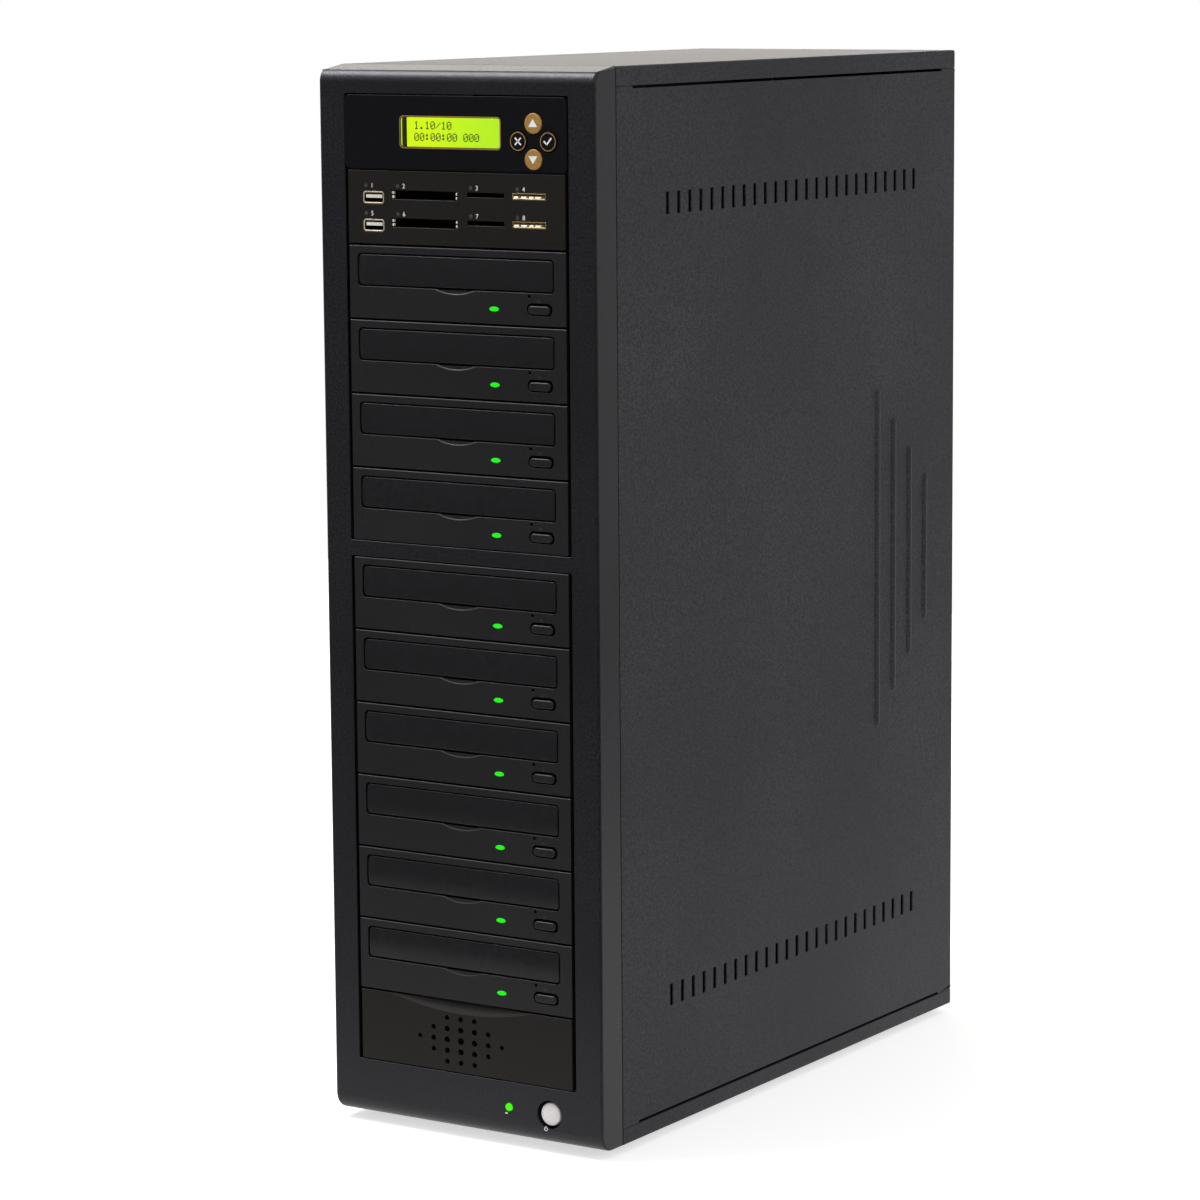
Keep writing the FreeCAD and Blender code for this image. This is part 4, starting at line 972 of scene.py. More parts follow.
@dataclass
class SteelCase:
    """The painted sheets of the case, and the bare steel behind them."""

    fold: float = 0.3
    gauge: float = 1.0
    top_lip: float = 11.1
    base_lip: float = 9.6
    seam: float = 1.6
    seam_end: float = 17.0
    seam_depth: float = 3.5
    hairline: float = 0.15
    rib_round: float = 1.9
    painted: tuple[str, ...] = (
        "right_side_panel",
        "left_side_panel",
        "top_cover",
        "base_pan",
        "rear_panel",
    )
    bare: tuple[str, ...] = ("controller_carrier", "reader_carrier", "drive_cases")
    # The frame and rails are made dark as painted shade behind the slots and gaps.
    dark: tuple[str, ...] = ("front_frame", "bay_rails")

    def build(self) -> dict[str, Workpiece]:
        """Takes a copy of each painted sheet, opens the seams, and rounds the ribs and the edges.

        Returns:
            The sheets by node.
        """
        sheets = {node: Workpiece.from_node(node) for node in self.painted}
        start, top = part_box("top_cover")
        front, rear = start.y, top.y
        upper = top.z - self.top_lip * MM
        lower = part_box("base_pan")[0].z + self.base_lip * MM
        seam, end, gap = self.seam * MM, self.seam_end * MM, self.hairline * MM
        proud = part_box("right_side_panel")[1].x
        # Each cover's slot starts at a level, and the tabs that close its ends fill a span.
        slots = (
            ("top_cover", upper - seam, (upper - 2 * seam, upper - gap)),
            ("base_pan", lower, (lower + gap, lower + 2 * seam)),
        )
        for node, side in (("right_side_panel", 1), ("left_side_panel", -1)):
            panel = sheets[node]
            outer = side * top.x
            for cover, low, tab in slots:
                near, far = sorted((outer + side * MM, outer - side * self.seam_depth * MM))
                slot_low = Vector((near, front + end, low))
                slot_high = Vector((far, rear - end, low + seam))
                sheets[cover].cut(Workpiece.block("seam_slot", slot_low, slot_high))
                near, far = sorted((outer, outer - side * self.gauge * MM))
                for begin, stop in ((front, front + end), (rear - end, rear)):
                    tab_low = Vector((near, begin, tab[0]))
                    tab_high = Vector((far, stop, tab[1]))
                    panel.weld(Workpiece.block("seam_tab", tab_low, tab_high))
            panel.bevel(lambda edge: abs(abs(middle_of(edge).x) - proud) < NEAR, self.rib_round * MM, 5)
            for level in (upper - 3 * seam, lower + 3 * seam):
                panel.score(Vector((0.0, 0.0, level)), UPWARD)
        for sheet in sheets.values():
            sheet.soften(self.fold * MM)
        return sheets

    def dress(self, sheets: dict[str, Workpiece]) -> None:
        """Paints the sheets, gives the bare steel its zinc, and makes the frame and rails dark as painted
        shade.

        Args:
            sheets: The painted sheets by node.
        """
        for node, sheet in sheets.items():
            sheet.fit(CASE_PAINT, CHASSIS, "case_paint", [node])
        for node in self.bare:
            dress_node(node, ZINC_STEEL)
        # The frame and rails get the dark steel that paints the shade behind the slots and gaps.
        for node in self.dark:
            dress_node(node, DARK_STEEL_PAINTED_SHADE)


@dataclass
class Feet:
    """Four round rubber feet."""

    diameter: float = 18.0
    taper: float = 1.2
    round_over: float = 0.8

    def build(self) -> Workpiece:
        """Models one foot and sets it under each corner.

        Returns:
            The four feet as one piece.
        """
        low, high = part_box("rubber_feet")
        radius = self.diameter / 2 * MM
        lefts = (low.x + radius, high.x - radius)
        fronts = (low.y + radius, high.y - radius)
        spots = [Vector((x, y, low.z)) for x in lefts for y in fronts]
        pattern = Workpiece.bar(
            "foot_pattern",
            spots[0],
            high.z - low.z,
            radius - self.taper * MM,
            radius,
            axis=Axis.Z,
        ).soften(self.round_over * MM, 3)
        made = pattern.copied("feet", Vector())
        others = [pattern.copied("foot", spot - spots[0]) for spot in spots[1:]]
        pattern.discard()
        return made.join(*others)

    def dress(self, piece: Workpiece) -> None:
        """Fits the feet in place of their solids."""
        piece.fit(FOOT_RUBBER, CHASSIS, "foot_rubber", ["rubber_feet"])


@dataclass
class DisplayDots:
    """The characters of the display: plain numbers, drawn with square dots."""

    lines: tuple[str, str] = ("1.10/10", "00:00:00 000")
    dot: float = 0.62
    thickness: float = 0.04
    pitch: float = 0.64
    cell: float = 3.75
    line_pitch: float = 6.6
    shapes: dict[str, tuple[str, ...]] = field(
        default_factory=lambda: {
            "0": (".###.", "#...#", "#..##", "#.#.#", "##..#", "#...#", ".###."),
            "1": ("..#..", ".##..", "..#..", "..#..", "..#..", "..#..", ".###."),
            ".": (".....", ".....", ".....", ".....", ".....", ".##..", ".##.."),
            ":": (".....", ".##..", ".##..", ".....", ".##..", ".##..", "....."),
            "/": (".....", "....#", "...#.", "..#..", ".#...", "#....", "....."),
            " ": (".....",) * 7,
        }
    )

    def places(self) -> list[tuple[float, float]]:
        """The dots, across and up from the upper left corner, in millimetres.

        Returns:
            The middle of each dark dot.
        """
        found = []
        for row, line in enumerate(self.lines):
            for column, letter in enumerate(line):
                for down, dots in enumerate(self.shapes[letter]):
                    found += [
                        (column * self.cell + i * self.pitch, -row * self.line_pitch - down * self.pitch)
                        for i, mark in enumerate(dots)
                        if mark == "#"
                    ]
        return found

    def build(self, corner: Vector) -> Workpiece:
        """Models the dots as thin plates.

        Args:
            corner: The middle of the first dot in metres.

        Returns:
            All dots as one piece.
        """
        places = self.places()
        half = at(self.dot / 2, self.thickness / 2, self.dot / 2)
        start = corner + at(places[0][0], 0.0, places[0][1])
        made = Workpiece.block("display_dots", start - half, start + half)
        with made.editing():
            for across, up in places[1:]:
                middle = corner + at(across, 0.0, up)
                bpy.ops.mesh.primitive_cube_add(size=1.0, location=middle, scale=2 * half)
        return made


@dataclass
class Controller:
    """The controller: a face with a display window and four round keys."""

    corner: float = 3.0
    face_edge: float = 0.3
    window_width: float = 67.4
    window_height: float = 16.7
    window_across: float = -2.7
    window_up: float = 20.95
    window_corner: float = 1.6
    line: float = 0.5
    line_margin: float = 0.35
    pane_gap: float = 0.15
    pane_back: float = 0.1
    pane_edge: float = 0.12
    key_diameter: float = 11.4
    key_hole: float = 12.0
    key_edge: float = 0.5
    ring: float = 0.45
    sides: int = 64
    print_height: float = 0.06
    print_sink: float = 0.02
    glass_edge: float = 0.25
    film_left: float = 3.3
    film_margin: float = 1.2
    film_height: float = 0.12
    film_corner: float = 0.6
    film_edge: float = 0.04
    seal: Span = (0.7, 0.15)
    seal_edge: float = 0.03
    text_left: float = 5.4
    text_top: float = 4.6
    arrow: float = 3.5
    arrow_squash: float = 0.85
    arrow_shift: float = 0.5
    stroke: float = 0.9
    keys: dict[str, KeyMark] = field(
        default_factory=lambda: {
            "key_up": KeyMark.UP,
            "key_down": KeyMark.DOWN,
            "key_cancel": KeyMark.CROSS,
            "key_confirm": KeyMark.TICK,
        }
    )
    # The strokes of a drawn sign: across, up, length and turn.
    strokes: dict[KeyMark, tuple[tuple[float, float, float, float], ...]] = field(
        default_factory=lambda: {
            KeyMark.CROSS: ((0.0, 0.0, 5.6, 45.0), (0.0, 0.0, 5.6, -45.0)),
            KeyMark.TICK: ((-1.75, -0.55, 2.7, 45.0), (0.75, 0.25, 4.9, -50.0)),
        }
    )

    def window(self, margin: float, front: float, rear: float, name: str) -> Workpiece:
        """A rounded plate of the window's shape.

        Args:
            margin: How much larger than the window it is on each side, in millimetres.
            front: The depth of its front in metres.
            rear: The depth of its back.
            name: The piece's name.

        Returns:
            The plate.
        """
        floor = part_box("controller_faceplate")[0].z
        across, up = self.window_across, self.window_up
        half, tall = self.window_width / 2 + margin, self.window_height / 2 + margin
        low = Vector(((across - half) * MM, front, floor + (up - tall) * MM))
        high = Vector(((across + half) * MM, rear, floor + (up + tall) * MM))
        return Workpiece.slab(name, low, high, Axis.Y, (self.window_corner + margin) * MM)

    def build_face(self) -> None:
        """Models the face, the printed line round its window and the pane in it."""
        low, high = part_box("controller_faceplate")
        face = Workpiece.slab("controller_face", low, high, Axis.Y, self.corner * MM, 8)
        face.cut(self.window(0.0, low.y - MM, high.y + MM, "window_opening"))
        for node in self.keys:
            spot = box_middle(node)
            spot.y = low.y - MM
            length = high.y - low.y + 2 * MM
            face.cut(Workpiece.bar("key_hole", spot, length, self.key_hole / 2 * MM, sides=self.sides))
        face.soften(self.face_edge * MM, 3).fit(OVERLAY, CHASSIS, "panel_plastic", ["controller_faceplate"])
        printed = low.y - self.print_height * MM
        sunk = low.y + self.print_sink * MM
        line = self.window(self.line + self.line_margin, printed, sunk, "window_line")
        line.cut(self.window(self.line_margin, printed - MM, low.y + MM, "line_inside"))
        line.fit(GOLD_INK, CHASSIS, "key_gold")
        glass_low, glass_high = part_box("lcd_window")
        pane_front = glass_low.y + self.pane_back * MM
        pane = self.window(-self.pane_gap, pane_front, glass_high.y, "display_window")
        pane.soften(self.pane_edge * MM).fit(WINDOW_ACRYLIC, CHASSIS, "window_clear", ["lcd_window"])

    def build_display(self) -> None:
        """Models the display: its glass, the lit film, the seal beside it and the dots."""
        low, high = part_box("lcd_module")
        glass = Workpiece.block("display_glass", low, high).soften(self.glass_edge * MM)
        glass.fit(DISPLAY_EDGE, CHASSIS, "display_lit", ["lcd_module"])
        film_low = low + at(self.film_left, -self.film_height, self.film_margin)
        film_high = Vector((high.x - self.film_margin * MM, low.y, high.z - self.film_margin * MM))
        film = Workpiece.slab("display_film", film_low, film_high, Axis.Y, self.film_corner * MM, 3)
        film.soften(self.film_edge * MM).fit(LIT_FILM, CHASSIS, "display_lit")
        seal = Workpiece.block(
            "display_seal",
            film_low - at(self.seal[0], 0.0, 0.0),
            Vector((film_low.x - self.seal[1] * MM, low.y, film_high.z)),
        )
        seal.soften(self.seal_edge * MM).fit(INNER_ABS, CHASSIS, "display_lit")
        corner = Vector((film_low.x, film_low.y, film_high.z))
        corner += at(self.text_left, -self.print_sink, -self.text_top)
        DisplayDots().build(corner).fit(SEGMENT, CHASSIS, "display_lit")

    def build_key(self, node: str, mark: KeyMark) -> None:
        """Models a key with its sign, both on the key's own body.

        Args:
            node: The key's node.
            mark: Its sign.
        """
        low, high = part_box(node)
        front = box_middle(node)
        front.y = low.y
        gold = mark in (KeyMark.UP, KeyMark.DOWN)
        radius = self.key_diameter / 2
        cap = Workpiece.bar(f"{node}_cap", front, high.y - low.y, radius * MM, sides=self.sides)
        cap.soften(self.key_edge * MM, 4)
        cap.fit(GOLD_INK if gold else OVERLAY, node, "key_gold" if gold else "key_dark", [node])
        if not gold:
            radius -= self.key_edge
            start = front - at(0.0, self.print_height, 0.0)
            ring = Workpiece.bar(
                f"{node}_ring", start, 2 * self.print_height * MM, radius * MM, sides=self.sides
            )
            inner = Workpiece.bar(
                "ring_inside", start - at(0, 1, 0), 3 * MM, (radius - self.ring) * MM, sides=self.sides
            )
            ring.cut(inner).fit(GOLD_INK, node, "key_gold")
        self.sign(f"{node}_sign", front, mark).fit(WHITE_INK, node, "key_gold" if gold else "key_dark")

    def sign(self, name: str, front: Vector, mark: KeyMark) -> Workpiece:
        """Models a printed sign on a key.

        Args:
            name: The piece's name.
            front: The middle of the key's face.
            mark: Which sign.

        Returns:
            The sign.
        """
        raised = self.print_height * MM
        if mark in self.strokes:
            bars = []
            for across, up, length, turn in self.strokes[mark]:
                middle = front + at(across, 0.0, up)
                half = Vector((length / 2 * MM, raised, self.stroke / 2 * MM))
                bars.append(Workpiece.block(name, middle - half, middle + half, turn))
            return bars[0].join(*bars[1:])
        start = front - Vector((0.0, raised, 0.0))
        made = Workpiece.bar(name, start, 2 * raised, self.arrow * MM, sides=3)
        way = 1 if mark is KeyMark.UP else -1
        with made.editing():
            bpy.ops.transform.resize(value=(1.0, 1.0, way * self.arrow_squash), center_override=front)
            bpy.ops.transform.translate(value=(0.0, 0.0, -way * self.arrow_shift * MM))
            bpy.ops.mesh.normals_make_consistent(inside=False)
        return made

    def build(self) -> None:
        """Models the whole controller."""
        self.build_face()
        self.build_display()
        for node, mark in self.keys.items():
            self.build_key(node, mark)
        dress_node("controller_boards", SOLDER_MASK)


@dataclass
class Slot:
    """An opening in the reader's face, in millimetres from the middle and from the bay's floor."""

    left: float
    width: float
    up: float
    height: float
    corner: float


@dataclass
class CardReader:
    """The card reader: a face with two rows of ports and slots, and the sockets behind them."""

    rows: tuple[int, ...] = (0, 1)
    row_pitch: float = 15.8
    port: Slot = field(default_factory=lambda: Slot(-64.0, 15.0, 6.7, 7.4, 1.9))
    wide: Slot = field(default_factory=lambda: Slot(-43.6, 45.0, 9.7, 5.1, 0.5))
    flat: Slot = field(default_factory=lambda: Slot(8.1, 25.2, 12.0, 2.7, 0.4))
    stick: Slot = field(default_factory=lambda: Slot(38.8, 22.5, 11.4, 3.8, 0.4))
    face_edge: float = 0.25
    depth: float = 24.0
    # Sockets and the sprung mouth of the narrow ones.
    shell: float = 0.5
    socket_gap: float = 0.05
    socket_edge: float = 0.08
    mouth_gap: float = 0.1
    mouth_depth: float = 3.0
    mouth_edge: float = 0.14
    springs: tuple[Span, ...] = ((0.5, 3.6), (5.4, 9.1), (10.8, 13.7), (14.8, 18.7))
    spring_length: float = 16.0
    spring_height: float = 2.0
    spring_back: float = 0.3
    spring_bend: float = 1.2
    spring_edge: float = 0.1
    rail_height: float = 0.7
    rail_inset: float = 0.2
    # Ports.
    port_gap: float = 0.15
    port_back: float = 0.1
    port_corner: float = 1.75
    port_edge: float = 0.28
    rim: float = 0.8
    rim_depth: float = 0.6
    rim_corner: float = 1.1
    # The black lining inside each port's shell is painted shade, where the shell's inside would be in
    # shade.
    lining: float = 0.25
    lining_corner: float = 0.9
    lining_edge: float = 0.06
    tongue_inset: float = 1.7
    tongue_back: float = 0.7
    tongue_span: Span = (-0.3, 1.7)
    tongue_edge: float = 0.2
    contacts: int = 4
    contact_start: float = 0.24
    contact_step: float = 0.173
    contact_width: float = 1.0
    contact_depths: Span = (1.6, 12.0)
    contact_span: Span = (-0.48, -0.2)
    contact_edge: float = 0.05
    # Guide ends at both sides of the wide slots.
    pin_depths: Span = (0.3, 2.2)
    pin_reach: Span = (-0.3, 1.2)
    pin_height: float = 1.5
    pin_levels: Span = (0.27, 0.73)
    pin_edge: float = 0.35
    # Unlit lamps and their printed numbers.
    lamp_diameter: float = 2.3
    lamp_proud: float = 0.15
    lamp_edge: float = 0.12
    lamp_up: float = 17.1
    lamps: tuple[float, ...] = (-61.5, -39.4, 10.8, 42.4)
    lip_depth: float = 0.6
    lip_height: float = 2.2
    number_step: float = 4.2
    number_height: float = 2.6
    number_print: float = 0.03
    digit_share: float = 0.7

    def box(self, slot: Slot, row: int, inset: float, front: float, rear: float) -> tuple[Vector, Vector]:
        """The corners of a slot's space.

        Args:
            slot: Which slot.
            row: Which row, from below.
            inset: How far inside the slot the space is, in millimetres.
            front: The depth of its front in metres.
            rear: The depth of its back.

        Returns:
            Its lowest and highest corner.
        """
        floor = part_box("reader_faceplate")[0].z + (slot.up + row * self.row_pitch) * MM
        low = Vector(((slot.left + inset) * MM, front, floor + inset * MM))
        high = Vector(((slot.left + slot.width - inset) * MM, rear, floor + (slot.height - inset) * MM))
        return low, high

    def build_face(self) -> None:
        """Models the face with its openings, unlit lamps and plain numbers."""
        low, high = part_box("reader_faceplate")
        face = Workpiece.block("reader_face", low, high)
        lip_low = Vector((low.x, high.y - self.lip_depth * MM, high.z - MM))
        face.weld(Workpiece.block("upper_lip", lip_low, high + at(0, self.lip_depth, self.lip_height)))
        for row in self.rows:
            for slot in (self.port, self.wide, self.flat, self.stick):
                corners = self.box(slot, row, 0.0, low.y - MM, high.y + MM)
                face.cut(Workpiece.slab("slot_opening", *corners, Axis.Y, slot.corner * MM, 4))
        face.soften(self.face_edge * MM).fit(READER_ABS, CHASSIS, "reader_plastic", ["reader_faceplate"])
        spots = [(across, row) for row in reversed(self.rows) for across in self.lamps]
        for number, (across, row) in enumerate(spots, start=1):
            spot = Vector((across * MM, low.y, low.z + (self.lamp_up + row * self.row_pitch) * MM))
            front = spot - at(0, self.lamp_proud, 0)
            lens = Workpiece.bar(f"reader_lamp_{number}", front, MM, self.lamp_diameter / 2 * MM)
            lens.soften(self.lamp_edge * MM).fit(UNLIT_LENS, CHASSIS, "reader_plastic")
            self.build_number(number, spot + at(self.number_step, 0.0, 0.0))

    def build_number(self, number: int, spot: Vector) -> None:
        """Prints a plain number on the face.

        Args:
            number: The number.
            spot: Its middle on the face.
        """
        Workpiece.clear_bench()
        place = spot - at(0, self.number_print, 0)
        bpy.ops.object.text_add(location=place, rotation=(math.pi / 2, 0.0, 0.0))
        text = bpy.context.object
        text.data.body = str(number)
        text.data.size = self.number_height * MM / self.digit_share
        text.data.align_x = "CENTER"
        text.data.align_y = "CENTER"
        text.data.extrude = self.number_print * MM
        bpy.ops.object.convert(target="MESH")
        bpy.ops.object.transform_apply(location=True, rotation=True, scale=True)
        Workpiece(bpy.context.object, f"reader_number_{number}").fit(WHITE_INK, CHASSIS, "reader_plastic")

    def build_ports(self) -> None:
        """Models both ports: a plated shell, a black lining as painted shade inside it, a white tongue and
        four contacts.
        """
        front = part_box("reader_faceplate")[0].y
        for row in self.rows:
            near, rear = front + self.port_back * MM, front + self.depth * MM
            low, high = self.box(self.port, row, self.port_gap, near, rear)
            shell = Workpiece.slab(f"port_shell_{row + 1}", low, high, Axis.Y, self.port_corner * MM, 5)
            inset = self.port_gap + self.rim
            inner = self.box(self.port, row, inset, front - MM, front + (self.depth - 1) * MM)
            shell.cut(Workpiece.slab("port_inside", *inner, Axis.Y, self.rim_corner * MM, 4))
            # The shell's colour carries a painted warm tint of the light.
            shell.soften(self.port_edge * MM, 3).fit(NICKEL_PAINTED_WARM_LIGHT, CHASSIS, "port_shell", ["usb_ports"])
            inner[0].y = front + self.rim_depth * MM
            # A black lining paints the shade inside the shell.
            lining = Workpiece.slab(f"port_painted_shade_lining_{row + 1}", *inner, Axis.Y, self.rim_corner * MM, 4)
            hollow = self.box(self.port, row, inset + self.lining, front - MM, inner[1].y - MM)
            lining.cut(Workpiece.slab("painted_shade_lining_inside", *hollow, Axis.Y, self.lining_corner * MM, 4))
            lining.soften(self.lining_edge * MM).fit(INNER_ABS, CHASSIS, "port_shell")
            middle = Vector((0.0, front, (low.z + high.z) / 2))
            inset = self.tongue_inset * MM
            under, over = (middle.z + level * MM for level in self.tongue_span)
            tongue = Workpiece.block(
                f"port_tongue_{row + 1}",
                Vector((low.x + inset, front + self.tongue_back * MM, under)),
                Vector((high.x - inset, inner[1].y, over)),
            )
            tongue.soften(self.tongue_edge * MM).fit(TONGUE_NYLON, CHASSIS, "port_shell")
            for i in range(self.contacts):
                middle.x = low.x + (high.x - low.x) * (self.contact_start + self.contact_step * i)
                self.build_contact(f"port_contact_{row + 1}_{i + 1}", middle)

    def build_contact(self, name: str, middle: Vector) -> None:
        """Models a contact under a port's tongue.

        Args:
            name: The piece's name.
            middle: The port's middle level on the face, at this contact.
        """
        half = self.contact_width / 2
        near, far = self.contact_depths
        under, over = self.contact_span
        contact = Workpiece.block(name, middle + at(-half, near, under), middle + at(half, far, over))
        contact.soften(self.contact_edge * MM).fit(BRASS_PLATE, CHASSIS, "socket_brass")

    def build_sockets(self) -> None:
        """Models the card sockets, the guide ends in the wide slots and the springs in the narrow ones."""
        front, rear = (corner.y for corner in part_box("reader_faceplate"))
        kinds = (
            ("wide", self.wide, INNER_ABS),
            ("flat", self.flat, INNER_ABS),
            ("stick", self.stick, PALE_BRASS_PAINTED_HIGHLIGHT),
        )
        for row in self.rows:
            for name, slot, finish in kinds:
                low, high = self.box(slot, row, -self.shell, rear, rear + self.depth * MM)
                socket = Workpiece.block(f"{name}_socket_{row + 1}", low, high)
                inside = self.box(slot, row, self.socket_gap, rear - MM, high.y - MM)
                socket.cut(Workpiece.block("socket_inside", *inside))
                socket.soften(self.socket_edge * MM)
                socket.fit(finish, CHASSIS, "socket_brass", ["card_sockets"])
            self.build_pins(row, front)
            self.build_springs(row, front)

    def build_pins(self, row: int, front: float) -> None:
        """Models the bright ends of the guides at both sides of a wide slot.

        Args:
            row: Which row, from below.
            front: The depth of the reader's face in metres.
        """
        near, far = (front + depth * MM for depth in self.pin_depths)
        low, high = self.box(self.wide, row, 0.0, near, far)
        half = self.pin_height / 2 * MM
        for side, across, inward in (("left", low.x, 1), ("right", high.x, -1)):
            start, stop = sorted(across + reach * inward * MM for reach in self.pin_reach)
            for level, share in zip(("lower", "upper"), self.pin_levels):
                up = low.z + (high.z - low.z) * share
                pin = Workpiece.block(
                    f"guide_{side}_{level}_{row + 1}",
                    Vector((start, low.y, up - half)),
                    Vector((stop, high.y, up + half)),
                )
                # The guide ends' nearly white colour is a painted highlight.
                pin.soften(self.pin_edge * MM, 3).fit(PALE_BRASS_PAINTED_HIGHLIGHT, CHASSIS, "socket_brass")

    def build_springs(self, row: int, front: float) -> None:
        """Models the mouth of a narrow slot and the springs on a rail in it.

        Args:
            row: Which row, from below.
            front: The depth of the reader's face in metres.
        """
        near, far = front + self.mouth_gap * MM, front + self.spring_length * MM
        low, high = self.box(self.stick, row, self.mouth_gap, near, far)
        mouth_high = Vector((high.x, low.y + self.mouth_depth * MM, high.z))
        mouth = Workpiece.block(f"stick_mouth_{row + 1}", low, mouth_high)
        inside = self.box(self.stick, row, self.mouth_gap + self.shell, low.y - MM, high.y)
        mouth.cut(Workpiece.block("mouth_inside", *inside))
        mouth.soften(self.mouth_edge * MM, 3).fit(BRASS_PLATE, CHASSIS, "socket_brass")
        inset = self.rail_inset
        rail = Workpiece.block(
            f"stick_springs_{row + 1}",
            low + at(inset, inset, inset / 2),
            Vector((high.x - inset * MM, high.y, low.z + self.rail_height * MM)),
        )
        top = low.z + self.spring_height * MM
        springs = []
        for left, right in self.springs:
            start = low + at(left, self.spring_back, self.spring_back)
            spring = Workpiece.block("stick_spring", start, Vector((low.x + right * MM, high.y, top)))
            springs.append(spring.bevel(edge_along(Axis.X, y=start.y, z=top), self.spring_bend * MM, 5))
        # The springs' nearly white colour is a painted highlight.
        rail.join(*springs).soften(self.spring_edge * MM).fit(PALE_BRASS_PAINTED_HIGHLIGHT, CHASSIS, "socket_brass")

    def build(self) -> None:
        """Models the whole reader."""
        self.build_face()
        self.build_ports()
        self.build_sockets()
        dress_node("reader_boards", SOLDER_MASK)


